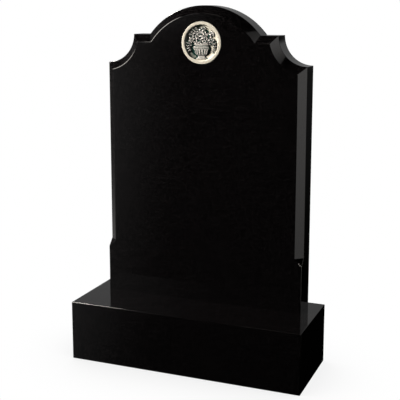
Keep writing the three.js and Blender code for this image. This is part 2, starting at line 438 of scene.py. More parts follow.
class Draft:
    """Gathers points and faces, with points that fall together made one."""

    def __init__(self, grid: float = 1e-6) -> None:
        """Start an empty draft.

        Args:
            grid: How close two points lie to be one.
        """
        self.grid = grid
        self.points: list[Point] = []
        self.faces: list[tuple[int, ...]] = []
        self.known: dict[tuple[int, ...], int] = {}

    def point(self, place: Point) -> int:
        """Find a point, or add it if it is new.

        Args:
            place: Where the point lies.

        Returns:
            The point's number.
        """
        key = tuple(round(value / self.grid) for value in place)
        if key not in self.known:
            self.known[key] = len(self.points)
            self.points.append(tuple(place))
        return self.known[key]

    def face(self, corners: Iterable[Point]) -> None:
        """Add a face, unless its corners fall together into fewer than three points.

        Args:
            corners: The face's corners, in order.
        """
        numbers = []
        for corner in corners:
            number = self.point(corner)
            if number not in numbers:
                numbers.append(number)
        if len(numbers) > 2:
            self.faces.append(tuple(numbers))

    def strip(self, near: Sequence[Point], far: Sequence[Point], closed: bool = True) -> None:
        """Add a band of faces between two rows of as many points.

        Args:
            near: The first row.
            far: The second row.
            closed: Whether the rows run round and meet themselves.
        """
        last = len(near) if closed else len(near) - 1
        for i in range(last):
            j = (i + 1) % len(near)
            self.face((near[i], near[j], far[j], far[i]))

    def mesh(self, name: str) -> bpy.types.Mesh:
        """Return a mesh whose faces all point outwards.

        Args:
            name: The mesh's name.

        Returns:
            The new mesh, shaded smooth.
        """
        mesh = bpy.data.meshes.new(name)
        mesh.from_pydata(self.points, [], self.faces)
        drawn = bmesh.new()
        drawn.from_mesh(mesh)
        bmesh.ops.recalc_face_normals(drawn, faces=drawn.faces)
        for face in drawn.faces:
            face.smooth = True
        drawn.to_mesh(mesh)
        drawn.free()
        return mesh


def new_object(
    name: str, mesh: bpy.types.Mesh, *materials: bpy.types.Material
) -> bpy.types.Object:
    """Put a mesh in the scene as an object at the origin.

    Args:
        name: The object's name.
        mesh: Its mesh.
        materials: The materials of its slots, in order.

    Returns:
        The new object.
    """
    piece = bpy.data.objects.new(name, mesh)
    bpy.context.scene.collection.objects.link(piece)
    for material in materials:
        mesh.materials.append(material)
    return piece


def ease_edges(
    piece: bpy.types.Object,
    width: float,
    weigh: Callable[[bmesh.types.BMEdge], float],
    segments: int = 3,
    crease: float = math.radians(20),
) -> None:
    """Round a stone's arrises, and keep its other corners crisp.

    Args:
        piece: The object to finish.
        width: How far an arris reaches on each side of its edge.
        weigh: Gives the share of that width for an edge, or nothing for a crisp one.
        segments: The facets across an arris.
        crease: The angle from which an edge that isn't rounded is shaded sharp.
    """
    drawn = bmesh.new()
    drawn.from_mesh(piece.data)
    weights = drawn.edges.layers.float.new("bevel_weight_edge")
    for edge in drawn.edges:
        weight = weigh(edge)
        edge[weights] = weight
        edge.smooth = bool(weight) or edge.calc_face_angle(0.0) < crease
    drawn.to_mesh(piece.data)
    drawn.free()
    bevel = piece.modifiers.new("arris", "BEVEL")
    bevel.limit_method = "WEIGHT"
    bevel.width = width
    bevel.segments = segments
    bevel.harden_normals = True


def hand_over(piece: bpy.types.Object, node: str) -> None:
    """Let a finished piece stand for its solid.

    Args:
        piece: The finished piece.
        node: The solid that it replaces.
    """
    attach(piece, BODY)
    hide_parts(node)
    log.info("%s: %d faces before its modifiers", piece.name, len(piece.data.polygons))


# The stones


@dataclass
class BaseBlock:
    """The plain block that carries the tablet, polished all round and sawn below."""

    low: Vector
    high: Vector
    arris: float = 0.002
    facing_down: float = -0.5

    def build(self, polished: bpy.types.Material, sawn: bpy.types.Material) -> bpy.types.Object:
        """Build the block.

        Args:
            polished: The finish of the sides and the top.
            sawn: The finish of the underside.

        Returns:
            The finished piece.
        """
        draft = Draft()
        corners = [
            (self.low.x, self.low.y),
            (self.high.x, self.low.y),
            (self.high.x, self.high.y),
            (self.low.x, self.high.y),
        ]
        foot = [(x, y, self.low.z) for x, y in corners]
        head = [(x, y, self.high.z) for x, y in corners]
        draft.face(foot)
        draft.face(head)
        draft.strip(foot, head)
        piece = new_object("base_block", draft.mesh("base_block"), polished, sawn)
        for face in piece.data.polygons:
            face.material_index = int(face.normal.z < self.facing_down)
        ease_edges(piece, self.arris, lambda edge: 1.0)
        hand_over(piece, "base")
        return piece


@dataclass(frozen=True)
class Station:
    """One point of the tablet's outline, which knows where it lies for any inset."""

    chamfer_share: float
    at: Callable[[float], tuple[float, float]]


@dataclass
class ArchedTablet:
    """The upright stone: an arched top between scotias, and a stopped chamfer round its face."""

    low: Vector
    high: Vector
    pocket_radius: float
    pocket_depth: float
    pocket_middle: float
    scotia_radius: float = 0.097
    ledge_width: float = 0.061
    arch_rise: float = 0.096
    chamfer_on_face: float = 0.026
    chamfer_on_side: float = 0.024
    stop_tip_height: float = 0.157
    stop_length: float = 0.026
    arris: float = 0.002
    mouth_share: float = 0.15
    mouth_reach: float = 1.02
    outer_share: float = 0.4
    slanted_share: float = 0.5
    slant: Range = (0.2, 0.95)
    least_turn: float = math.radians(15)
    scotia_steps: int = 40
    arch_steps: int = 60
    chamfer_steps: int = 4
    pocket_steps: int = 128
    half_width: float = field(init=False)
    ledge_height: float = field(init=False)
    arch_radius: float = field(init=False)
    arch_centre: float = field(init=False)

    def __post_init__(self) -> None:
        """Work out the arch from the tablet's own sizes."""
        self.half_width = (self.high.x - self.low.x) / 2
        self.ledge_height = self.high.z - self.arch_rise
        reach = self.half_width - self.scotia_radius - self.ledge_width
        self.arch_radius = (reach**2 + self.arch_rise**2) / (2 * self.arch_rise)
        self.arch_centre = self.high.z - self.arch_radius

    def side_station(self, side: int, height: float, share: float) -> Station:
        """Return a point of the straight side."""
        return Station(share, lambda inset: (side * (self.half_width - inset), height))

    def scotia_station(self, side: int, share: float) -> Station:
        """Place a point of the hollow quarter circle.

        Args:
            side: -1 for the left shoulder, 1 for the right.
            share: How far along, from its foot to its head.

        Returns:
            The point's station.
        """

        def at(inset: float) -> tuple[float, float]:
            """Place the point for an inset.

            Args:
                inset: How far inside the outer edge it lies.

            Returns:
                Its place across and up.
            """
            radius = self.scotia_radius + inset
            first = math.asin(inset / radius)
            angle = between(first, QUARTER_TURN - first, share)
            return (
                side * (self.half_width - radius * math.sin(angle)),
                self.ledge_height - radius * math.cos(angle),
            )

        return Station(1.0, at)

    def arch_station(self, side: int, share: float) -> Station:
        """Place a point of the arch.

        Args:
            side: -1 for its left half, 1 for its right.
            share: How far along, from its top to its foot on the ledge.

        Returns:
            The point's station.
        """

        def at(inset: float) -> tuple[float, float]:
            """Place the point for an inset.

            Args:
                inset: How far inside the outer edge it lies.

            Returns:
                Its place across and up.
            """
            radius = self.arch_radius - inset
            foot = math.acos((self.ledge_height - inset - self.arch_centre) / radius)
            angle = foot * share
            return (
                side * radius * math.sin(angle),
                self.arch_centre + radius * math.cos(angle),
            )

        return Station(1.0, at)

    def half_outline(self, side: int) -> list[Station]:
        """Place one side's points.

        Args:
            side: -1 for the left side, 1 for the right.

        Returns:
            The stations from the foot up to just short of the arch's top.
        """
        tip = self.low.z + self.stop_tip_height
        stations = [
            self.side_station(side, self.low.z, 0.0),
            self.side_station(side, tip, 0.0),
            self.side_station(side, tip + self.stop_length, 1.0),
        ]
        for step in range(self.scotia_steps + 1):
            stations.append(self.scotia_station(side, step / self.scotia_steps))
        for step in range(self.arch_steps, 0, -1):
            stations.append(self.arch_station(side, step / self.arch_steps))
        return stations

    def outline(self) -> list[Station]:
        """Place the whole outline.

        Returns:
            The stations from the middle of the foot round by the right.
        """
        foot = Station(0.0, lambda inset: (0.0, self.low.z))
        left = self.half_outline(-1)
        left.reverse()
        return [foot, *self.half_outline(1), self.arch_station(1, 0.0), *left]

    def section(self, share: float) -> list[tuple[float, float]]:
        """Cut the section of the edge.

        Args:
            share: How much of the chamfer there is, from 0 to 1.

        Returns:
            The inset and the depth of each level, from the face to the back.
        """
        levels = []
        for step in range(self.chamfer_steps + 1):
            along = step / self.chamfer_steps
            inset = share * self.chamfer_on_face * (1 - along)
            levels.append((inset, share * self.chamfer_on_side * along))
        levels.append((0.0, self.high.y - self.low.y))
        return levels

    def rings(self) -> list[list[Point]]:
        """Draw the outline at each level of the edge's section.

        Returns:
            One ring of points for each level, from the face to the back.
        """
        rings = []
        for level in range(self.chamfer_steps + 2):
            ring = []
            for station in self.outline():
                inset, depth = self.section(station.chamfer_share)[level]
                x, z = station.at(inset)
                ring.append((x, self.low.y + depth, z))
            rings.append(ring)
        return rings

    def pocket_ring(self, depth: float) -> list[Point]:
        """Draw the mouth or the floor of the medallion's pocket.

        Args:
            depth: How far behind the face it lies.

        Returns:
            A ring of points, from its top round by the right.
        """
        ring = []
        for step in range(self.pocket_steps):
            angle = QUARTER_TURN - FULL_TURN * step / self.pocket_steps
            ring.append((
                self.pocket_radius * math.cos(angle),
                self.low.y + depth,
                self.pocket_middle + self.pocket_radius * math.sin(angle),
            ))
        return ring

    def arris_share(self, edge: bmesh.types.BMEdge) -> float:
        """Say how far an edge of the tablet is rounded.

        Args:
            edge: The edge, before it is rounded.

        Returns:
            Its share of the whole arris, or nothing for an edge that stays crisp.
        """
        angle = edge.calc_face_angle(0.0)
        on_bed = all(corner.co.z < self.low.z + TOUCH for corner in edge.verts)
        if on_bed or angle < self.least_turn or not edge.is_convex:
            return 0.0
        middle = Vector((0, self.low.y, self.pocket_middle))
        reach = self.pocket_radius * self.mouth_reach
        if all((corner.co - middle).length < reach for corner in edge.verts):
            return self.mouth_share
        if all(corner.co.y > self.low.y + TOUCH for corner in edge.verts):
            return self.outer_share
        along = (edge.verts[0].co - edge.verts[1].co).normalized()
        slanted = self.slant[0] < abs(along.y) < self.slant[1]
        return self.slanted_share if slanted else 1.0

    def build(self, polished: bpy.types.Material) -> bpy.types.Object:
        """Build the tablet.

        Args:
            polished: The finish of all its faces.

        Returns:
            The finished piece.
        """
        draft = Draft()
        rings = self.rings()
        for near, far in zip(rings, rings[1:]):
            draft.strip(near, far)
        draft.face(rings[-1])
        face, mouth = rings[0], self.pocket_ring(0.0)
        top = len(face) // 2
        half = self.pocket_steps // 2
        draft.face([*face[: top + 1], *mouth[: half + 1]])
        draft.face([*face[top:], face[0], *mouth[half:], mouth[0]])
        floor = self.pocket_ring(self.pocket_depth)
        draft.strip(mouth, floor)
        draft.face(floor)
        piece = new_object("arched_tablet", draft.mesh("arched_tablet"), polished)
        ease_edges(piece, self.arris, self.arris_share)
        hand_over(piece, "tablet")
        return piece


# The medallion's carved forms, drawn at unit size: x from root to tip, y across, z outwards


class Bloom(Enum):
    """The kinds of flower in the bouquet."""

    ROSE = "rose"
    DAISY = "daisy"
    LILY = "lily"
    BUD = "bud"


@dataclass(frozen=True)
class PetalForm:
    """The outline and modelling of a petal or a leaf of unit length and width."""

    name: str
    tip_power: float = 0.35
    root_power: float = 0.6
    tip_rise: float = 0.35
    cup: float = 0.25
    vein: float = 0.18
    ribs: int = 0
    rib_depth: float = 0.0
    edge_drop: float = 0.35
    edge_power: int = 6
    spine_swing: float = 0.62
    vein_width: float = 0.16
    vein_fade: float = 0.4
    rib_rake: float = 2.2
    tip_drop: float = 0.45
    tip_drop_power: int = 8
    least_height: float = 0.12
    ends: Range = (0.004, 0.996)
    along: int = 12
    across: int = 10
    skirt: float = 0.5
    groove_width: float = 0.2
    groove_dark: float = 0.6
    root_reach: float = 0.5
    root_dark: float = 1.1
    edge_start: float = 0.68
    edge_dark: float = 2.4
    skirt_line: float = 0.1

    def half_width(self, share: float) -> float:
        """Work out half the width.

        Args:
            share: How far along from the root, from 0 to 1.

        Returns:
            Half the width as a share of the petal's own.
        """
        peak = self.root_power / (self.root_power + self.tip_power)
        largest = peak**self.root_power * (1 - peak) ** self.tip_power
        width = share**self.root_power * (1 - share) ** self.tip_power
        return 0.5 * width / largest

    def height(self, share: float, side: float) -> float:
        """Return the height of the upper surface.

        Args:
            share: How far along from the root, from 0 to 1.
            side: How far across, from -1 to 1.

        Returns:
            The height as a share of the petal's own.
        """
        spine = between(1 - self.tip_rise, 1.0, math.sin(share * math.pi * self.spine_swing))
        crown = 1 + self.cup * (side * side - 0.5) - self.edge_drop * side**self.edge_power
        fade = 1 - share * self.vein_fade
        groove = self.vein * math.exp(-((side / self.vein_width) ** 2)) * fade
        ribs = self.rib_depth * math.cos(self.ribs * math.pi * (abs(side) - share * self.rib_rake))
        end = 1 - self.tip_drop * share**self.tip_drop_power
        return max(self.least_height, (spine * crown - groove - ribs) * end)

    def mesh(self) -> bpy.types.Mesh:
        """Build the closed form, with its hollow mask.

        Returns:
            A mesh of unit size that is darkest in its groove and at its foot, where patina and
            painted shade lie.
        """
        draft = Draft()
        rows = []
        for i in range(self.along + 1):
            share = (1 - math.cos(math.pi * i / self.along)) / 2
            share = between(*self.ends, share)
            row = []
            for j in range(self.across + 1):
                side = math.sin(QUARTER_TURN * between(-1, 1, j / self.across))
                row.append((share, side * self.half_width(share), self.height(share, side)))
            rows.append(row)
        for near, far in zip(rows, rows[1:]):
            draft.strip(near, far, closed=False)
        rim = [
            *rows[0],
            *[row[-1] for row in rows[1:-1]],
            *reversed(rows[-1]),
            *[row[0] for row in reversed(rows[1:-1])],
        ]
        foot = [(x, y, -self.skirt) for x, y, _ in rim]
        draft.strip(rim, foot)
        draft.face(foot)
        mesh = draft.mesh(self.name)
        paint(mesh, lambda place: (1.0, self.shade(place)))
        return mesh

    def shade(self, place: Vector) -> float:
        """Work out how hollow a point is, as patina and painted shade.

        Args:
            place: A point of the unit form.

        Returns:
            A mask from 0 on the crown to 1 at the foot.
        """
        # Painted shade, along with the patina: dark on the skirt below the crown, at the root, in
        # the groove and at the edges.
        if place.z < self.skirt_line:
            return 1.0
        nearest, furthest, narrowest = 0.01, 0.99, 1e-3
        width = max(self.half_width(min(max(place.x, nearest), furthest)), narrowest)
        side = abs(place.y) / width
        groove = math.exp(-((side / self.groove_width) ** 2)) * (1 - place.x) * self.groove_dark
        root = max(0.0, 1 - place.x / self.root_reach) * self.root_dark
        edge = max(0.0, side - self.edge_start) * self.edge_dark
        return min(1.0, groove + root + edge)


def paint(mesh: bpy.types.Mesh, masks: Callable[[Vector], tuple[float, float]]) -> None:
    """Give a mesh its relief and hollow masks, point by point.

    Args:
        mesh: The mesh to paint.
        masks: Gives the relief and the hollow value at a point.
    """
    relief, hollow = [], []
    for corner in mesh.vertices:
        on_relief, depth = masks(corner.co)
        relief.append(on_relief)
        hollow.append(depth)
    for name, values in (("relief", relief), ("hollow", hollow)):
        layer = mesh.attributes.new(name, "FLOAT", "POINT")
        layer.data.foreach_set("value", values)


PETALS = {
    Bloom.ROSE: PetalForm("rose_petal", tip_power=0.28, root_power=0.5, cup=0.5, vein=0.06),
    Bloom.DAISY: PetalForm("daisy_petal", tip_power=0.25, root_power=0.7, cup=0.1, vein=0.3),
    Bloom.LILY: PetalForm("lily_petal", tip_power=0.7, root_power=0.7, cup=0.35, vein=0.25),
    Bloom.BUD: PetalForm("bud_petal", tip_power=0.5, root_power=0.6, cup=-0.3, vein=0.1),
}
LEAF = PetalForm(
    "leaf",
    tip_power=0.85,
    root_power=0.6,
    cup=0.2,
    vein=0.3,
    ribs=5,
    rib_depth=0.07,
    along=14,
)


# Geometry trees for what repeats

# Side, slenderness and rise of the leaves at each knot of a spray
LEAVES_AT_KNOT = ((-1.0, 1.0, 0.9), (1.0, 1.0, 0.9), (0.0, 0.75, 1.0))


def run_tree(
    name: str, mesh: bpy.types.Mesh, tree: bpy.types.NodeTree, values: dict[str, object]
) -> bpy.types.Mesh:
    """Run a geometry tree on a unit form and return the result as a plain mesh.

    Args:
        name: The new mesh's name.
        mesh: The form that the tree repeats.
        tree: The geometry tree.
        values: The tree's inputs by name.

    Returns:
        The realised mesh, with no modifier left on it.
    """
    carrier = new_object(f"{name}_carrier", mesh)
    modifier = carrier.modifiers.new(name, "NODES")
    modifier.node_group = tree
    sockets = {
        item.name: item.identifier
        for item in tree.interface.items_tree
        if item.item_type == "SOCKET" and item.in_out == "INPUT"
    }
    for key, value in values.items():
        modifier[sockets[key]] = value
    carrier.update_tag()
    graph = bpy.context.evaluated_depsgraph_get()
    made = bpy.data.meshes.new_from_object(
        carrier.evaluated_get(graph),
        preserve_all_data_layers=True,
        depsgraph=graph,
    )
    made.name = name
    bpy.data.objects.remove(carrier)
    return made


def ring_tree() -> bpy.types.NodeTree:
    """Build the tree that sets a form round a middle, as petals are.

    Returns:
        A geometry group with Form, Count, Root Radius, Turn, Reach, Girth, Height,
        Unevenness, Seed and Finish inputs.
    """
    sheet = new_group(
        "petal_ring",
        "GeometryNodeTree",
        [
            ("Form", "NodeSocketGeometry", None),
            ("Count", "NodeSocketInt", 6),
            ("Root Radius", "NodeSocketFloat", 0.0),
            ("Turn", "NodeSocketFloat", 0.0),
            ("Reach", "NodeSocketFloat", 1.0),
            ("Girth", "NodeSocketFloat", 0.5),
            ("Height", "NodeSocketFloat", 1.0),
            ("Unevenness", "NodeSocketFloat", 0.1),
            ("Seed", "NodeSocketInt", 1),
            ("Finish", "NodeSocketMaterial", None),
        ],
        [("Ring", "NodeSocketGeometry")],
    )
    swing_share = 0.8
    given = sheet.add("NodeGroupInput").outputs
    number = sheet.add("GeometryNodeInputIndex").outputs[0]
    step = sheet.math("DIVIDE", FULL_TURN, given["Count"])
    least = sheet.math("SUBTRACT", 1.0, given["Unevenness"])
    most = sheet.math("ADD", 1.0, given["Unevenness"])
    swing = sheet.math("MULTIPLY", given["Unevenness"], swing_share)
    back = sheet.math("MULTIPLY", swing, -1.0)
    drift = random_value(sheet, back, swing, given["Seed"])
    grown = random_value(sheet, least, most, given["Seed"])
    angle = sheet.math("ADD", sheet.math("MULTIPLY", number, step), given["Turn"])
    angle = sheet.math("ADD", angle, drift)
    place = around(sheet, angle, given["Root Radius"])
    heading = sheet.vector(z=angle)
    reach = sheet.math("MULTIPLY", given["Reach"], grown)
    size = sheet.vector(reach, given["Girth"], given["Height"])
    set_out(sheet, place, heading, size)
    return sheet.tree


def random_value(
    sheet: NodeSheet, least: object, most: object, seed: object
) -> bpy.types.NodeSocket:
    """Draw a seeded random number for each point.

    Args:
        sheet: The geometry tree's sheet.
        least: The least value.
        most: The largest value.
        seed: The seed.

    Returns:
        The random value.
    """
    node = sheet.add(
        "FunctionNodeRandomValue",
        {2: least, 3: most, 8: seed},
        data_type="FLOAT",
    )
    return node.outputs[1]


def around(
    sheet: NodeSheet, angle: object, radius: object, height: object = 0.0
) -> bpy.types.NodeSocket:
    """Place a point at an angle round the middle.

    Args:
        sheet: The geometry tree's sheet.
        angle: The angle.
        radius: How far out the point lies.
        height: How high it lies.

    Returns:
        The point's place.
    """
    x = sheet.math("MULTIPLY", sheet.math("COSINE", angle), radius)
    y = sheet.math("MULTIPLY", sheet.math("SINE", angle), radius)
    return sheet.vector(x, y, height)


def set_out(sheet: NodeSheet, place: object, heading: object, size: object) -> None:
    """End a tree that sets Count copies of its Form, each at its own place.

    Args:
        sheet: The geometry tree's sheet.
        place: Where each copy goes.
        heading: How it is turned.
        size: How large it is.
    """
    given = sheet.add("NodeGroupInput").outputs
    points = sheet.add("GeometryNodePoints", {0: given["Count"], 1: place}).outputs[0]
    placed = sheet.add(
        "GeometryNodeInstanceOnPoints",
        {"Points": points, "Instance": given["Form"], "Rotation": heading, "Scale": size},
    ).outputs[0]
    finish_tree(sheet, placed, given["Finish"])


def finish_tree(
    sheet: NodeSheet, geometry: bpy.types.NodeSocket, finish: bpy.types.NodeSocket
) -> None:
    """End a geometry tree: realise its instances and set their material.

    Args:
        sheet: The geometry tree's sheet.
        geometry: The instances.
        finish: The material.
    """
    real = sheet.add("GeometryNodeRealizeInstances", {0: geometry}).outputs[0]
    dressed = sheet.add("GeometryNodeSetMaterial", {"Geometry": real, "Material": finish})
    sheet.add("NodeGroupOutput", {0: dressed.outputs[0]})


def seed_head_tree() -> bpy.types.NodeTree:
    """Build the tree that packs beads in a spiral, as the heart of a flower is.

    Returns:
        A geometry group with Form, Count, Radius, Bead, Base Height, Dome and Finish inputs.
    """
    sheet = new_group(
        "seed_head",
        "GeometryNodeTree",
        [
            ("Form", "NodeSocketGeometry", None),
            ("Count", "NodeSocketInt", 19),
            ("Radius", "NodeSocketFloat", 1.0),
            ("Bead", "NodeSocketFloat", 0.2),
            ("Base Height", "NodeSocketFloat", 0.0),
            ("Dome", "NodeSocketFloat", 0.3),
            ("Finish", "NodeSocketMaterial", None),
        ],
        [("Head", "NodeSocketGeometry")],
    )
    given = sheet.add("NodeGroupInput").outputs
    number = sheet.add("GeometryNodeInputIndex").outputs[0]
    share = sheet.math("DIVIDE", number, given["Count"])
    root = sheet.math("SQRT", share)
    radius = sheet.math("MULTIPLY", root, given["Radius"])
    golden = math.pi * (3 - math.sqrt(5))
    angle = sheet.math("MULTIPLY", number, golden)
    fall = sheet.math("MULTIPLY", sheet.math("SUBTRACT", 1.0, share), given["Dome"])
    place = around(sheet, angle, radius, sheet.math("ADD", given["Base Height"], fall))
    set_out(sheet, place, sheet.vector(), given["Bead"])
    return sheet.tree


def spray_tree() -> bpy.types.NodeTree:
    """Build the tree that sets leaves in pairs along a bowed stem.

    Returns:
        A geometry group with Form, Start, Middle, End, Count, Leaf, Girth, Height, Splay,
        Tip Size and Finish inputs.
    """
    sheet = new_group(
        "leaf_spray",
        "GeometryNodeTree",
        [
            ("Form", "NodeSocketGeometry", None),
            ("Start", "NodeSocketVector", None),
            ("Middle", "NodeSocketVector", None),
            ("End", "NodeSocketVector", None),
            ("Count", "NodeSocketInt", 5),
            ("Leaf", "NodeSocketFloat", 0.01),
            ("Girth", "NodeSocketFloat", 0.5),
            ("Height", "NodeSocketFloat", 0.01),
            ("Splay", "NodeSocketFloat", 0.8),
            ("Tip Size", "NodeSocketFloat", 0.6),
            ("Finish", "NodeSocketMaterial", None),
        ],
        [("Spray", "NodeSocketGeometry")],
    )
    stem_steps = 24
    given = sheet.add("NodeGroupInput").outputs
    bow = {name: given[name] for name in ("Start", "Middle", "End")}
    stem = sheet.add("GeometryNodeCurveQuadraticBezier", {"Resolution": stem_steps, **bow})
    knots = sheet.add("GeometryNodeResampleCurve", {0: stem.outputs[0], 2: given["Count"]})
    tangent = sheet.add("GeometryNodeInputTangent").outputs[0]
    parts = sheet.add("ShaderNodeSeparateXYZ", {0: tangent}).outputs
    heading = sheet.math("ARCTAN2", parts[1], parts[0])
    share = sheet.add("GeometryNodeSplineParameter").outputs[0]
    shrink = sheet.ramp(share, (0.0, 1.0), (1.0, given["Tip Size"]), blend="LINEAR")
    reach = sheet.math("MULTIPLY", given["Leaf"], shrink)
    girth = sheet.math("MULTIPLY", reach, given["Girth"])
    joined = sheet.add("GeometryNodeJoinGeometry")
    for side, slenderness, rise in LEAVES_AT_KNOT:
        splay = sheet.math("MULTIPLY", given["Splay"], side)
        turn = sheet.vector(z=sheet.math("ADD", heading, splay))
        width = sheet.math("MULTIPLY", girth, slenderness)
        size = sheet.vector(reach, width, sheet.math("MULTIPLY", given["Height"], rise))
        leaves = sheet.add(
            "GeometryNodeInstanceOnPoints",
            {"Points": knots.outputs[0], "Instance": given["Form"], "Rotation": turn, "Scale": size},
        ).outputs[0]
        sheet.tree.links.new(leaves, joined.inputs[0])
    finish_tree(sheet, joined.outputs[0], given["Finish"])
    return sheet.tree


# The bouquet's plan, in shares of the dish's radius and of the relief's height

Trees = dict[str, bpy.types.NodeTree]


@dataclass(frozen=True)
class Flower:
    """One flower: where it sits, how large it is and how its petals are set."""

    x: float
    y: float
    size: float
    petals: int
    height: float
    kind: Bloom
    turn: float = 0.3
    rings: int = 1


@dataclass(frozen=True)
class Spray:
    """A bowed stem with leaves in pairs."""

    x: float
    y: float
    angle: float
    bend: float
    length: float
    pairs: int
    leaf: float
    height: float


FLOWERS = (
    Flower(0.16, 0.38, 0.26, 7, 1.0, Bloom.ROSE, rings=3),
    Flower(0.34, 0.02, 0.23, 8, 0.95, Bloom.DAISY, turn=0.1, rings=2),
    Flower(-0.25, 0.33, 0.2, 5, 0.9, Bloom.LILY, rings=2),
    Flower(-0.2, 0.66, 0.18, 5, 0.85, Bloom.ROSE, turn=0.9, rings=2),
    Flower(-0.6, 0.16, 0.2, 6, 0.85, Bloom.DAISY, rings=2),
    Flower(-0.03, 0.05, 0.18, 5, 0.8, Bloom.LILY, turn=0.6),
    Flower(0.13, 0.77, 0.16, 5, 0.85, Bloom.ROSE, rings=2),
    Flower(-0.33, 0.0, 0.15, 5, 0.75, Bloom.ROSE, rings=2),
)
SPRAYS = (
    Spray(-0.62, 0.32, 1.35, -0.6, 0.5, 4, 0.23, 0.85),
    Spray(-0.8, 0.06, -1.9, 0.9, 0.5, 4, 0.19, 0.85),
    Spray(0.62, 0.16, -0.75, -1.3, 0.8, 5, 0.19, 0.9),
)


UrnRow = tuple[float, float, float]


def part_rows(
    foot: float, head: float, steps: int, shape: Callable[[float], tuple[float, float]]
) -> list[UrnRow]:
    """Draw one part of the urn.

    Args:
        foot: The height at which the part begins.
        head: The height at which it ends.
        steps: The steps between them.
        shape: Gives the half width and the gadroon share at a share of the height.

    Returns:
        The part's rows from the foot up.
    """
    rows = []
    for step in range(steps + 1):
        share = step / steps
        rows.append((between(foot, head, share), *shape(share)))
    return rows


@dataclass(frozen=True)
class UrnForm:
    """The urn's heights and half widths, as shares of the dish's radius."""

    x: float = -0.02
    lip: float = -0.05
    neck: float = -0.16
    band: float = -0.19
    band_foot: float = -0.33
    waist: float = -0.71
    stem: float = -0.76
    foot_top: float = -0.83
    foot: float = -0.9
    lip_girth: float = 0.42
    neck_girth: float = 0.38
    band_girth: float = 0.5
    bowl_girth: float = 0.47
    waist_girth: float = 0.22
    stem_girth: float = 0.19
    foot_girth: float = 0.3
    thickness: float = 0.98
    fullness: float = 0.3
    gadroons: int = 16
    gadroon_depth: float = 0.22
    lobe_power: float = 0.7
    groove_power: float = 1.5
    groove_dark: float = 2.0
    flank: Range = (0.93, 0.995)
    silvering: float = 0.75
    line_depth: float = 0.8
    line_width: float = 0.022
    clear_above: float = 0.06
    fillet: float = 0.02
    foot_swell: float = 1.03
    step_girth: float = 0.264
    collar_girth: float = 0.228
    collar: Range = (0.3, 0.6)
    gadroon_ends: Range = (5.0, 7.0)
    bead_height: float = 0.05
    bead_power: float = 0.5
    band_waist: float = 0.985
    wave_share: float = 0.7
    wave_power: float = 0.7
    lip_roll: float = 0.05
    bowl_steps: int = 18
    band_steps: int = 8
    stem_steps: int = 6
    steps_round: int = 120

    def line(self, height: float) -> float:
        """Work out how dark the lines round the band and the foot are, as painted shade in their
        creases along with the patina.

        Args:
            height: A height on the urn.

        Returns:
            1 in the middle of a line, and 0 away from them all.
        """
        bead_head = self.band_foot + self.bead_height
        lines = (self.neck, self.band, bead_head, self.band_foot, self.waist, self.foot_top)
        return max(1 - min(1.0, abs(height - line) / self.line_width) for line in lines)

    def clearance(self, x: float, y: float) -> float:
        """Measure how far a point of the dish lies beside the urn.

        Args:
            x: The point's place across.
            y: The point's place up.

        Returns:
            The distance, or 1 above the urn and below it.
        """
        if not self.foot < y < self.lip + self.clear_above:
            return 1.0
        near = min(self.profile(), key=lambda row: abs(row[0] - y))
        return max(0.0, abs(x - self.x) - near[1])

    def profile(self) -> list[UrnRow]:
        """Draw the whole urn from its foot to its lip.

        Returns:
            The height, the half width and the gadroon share of each row.
        """
        bead_head = self.band_foot + self.bead_height
        bowl_head = self.band_foot - self.fillet
        swell = self.band_girth - self.bowl_girth
        heights = [between(self.stem, self.waist, share) for share in self.collar]
        collar = [(height, self.collar_girth, 0.0) for height in heights]

        def stem(share: float) -> tuple[float, float]:
            """Return the hollow stem's half width and gadroon share."""
            return between(self.step_girth, self.stem_girth, math.sin(share * QUARTER_TURN)), 0.0

        def bead(share: float) -> tuple[float, float]:
            """Return the half width and gadroon share of the bead below the band."""
            return self.bowl_girth + swell * math.sin(share * math.pi) ** self.bead_power, 0.0

        def band(share: float) -> tuple[float, float]:
            """Return the waved band's half width and gadroon share."""
            wave = abs(math.sin(share * FULL_TURN)) ** self.wave_power
            return self.bowl_girth * self.band_waist + swell * self.wave_share * wave, 0.0

        def shoulder(share: float) -> tuple[float, float]:
            """Return the shoulder's half width and gadroon share."""
            return between(self.bowl_girth, self.neck_girth, math.sin(share * QUARTER_TURN)), 0.0

        def lip(share: float) -> tuple[float, float]:
            """Return the rolled lip's half width and gadroon share."""
            roll = self.lip_roll * math.sin(share * math.pi) if share > 0.5 else 0.0
            return between(self.neck_girth, self.lip_girth, share**2) + roll, 0.0

        return [
            (self.foot, self.foot_girth, 0.0),
            (self.foot + self.fillet, self.foot_girth * self.foot_swell, 0.0),
            (self.foot_top - self.fillet, self.foot_girth, 0.0),
            (self.foot_top, self.step_girth, 0.0),
            *part_rows(self.foot_top, self.stem, self.stem_steps, stem)[1:],
            *collar,
            *self.bowl(bowl_head),
            *part_rows(self.band_foot, bead_head, self.band_steps, bead),
            *part_rows(bead_head, self.band, self.band_steps, band),
            *part_rows(self.band, self.neck, self.band_steps, shoulder)[1:],
            *part_rows(self.neck, self.lip, self.band_steps, lip)[1:],
        ]

    def bowl(self, head: float) -> list[UrnRow]:
        """Draw the gadrooned bowl.

        Args:
            head: The height at which it ends below the band.

        Returns:
            The bowl's rows from the waist up.
        """
        rows = []
        for step in range(self.bowl_steps + 1):
            share = step / self.bowl_steps
            angle = share * QUARTER_TURN
            ends = min(1.0, share * self.gadroon_ends[0], (1 - share) * self.gadroon_ends[1])
            rows.append((
                between(self.waist, head, 1 - math.cos(angle)),
                between(self.waist_girth, self.bowl_girth, math.sin(angle)),
                math.sin(ends * QUARTER_TURN),
            ))
        return rows


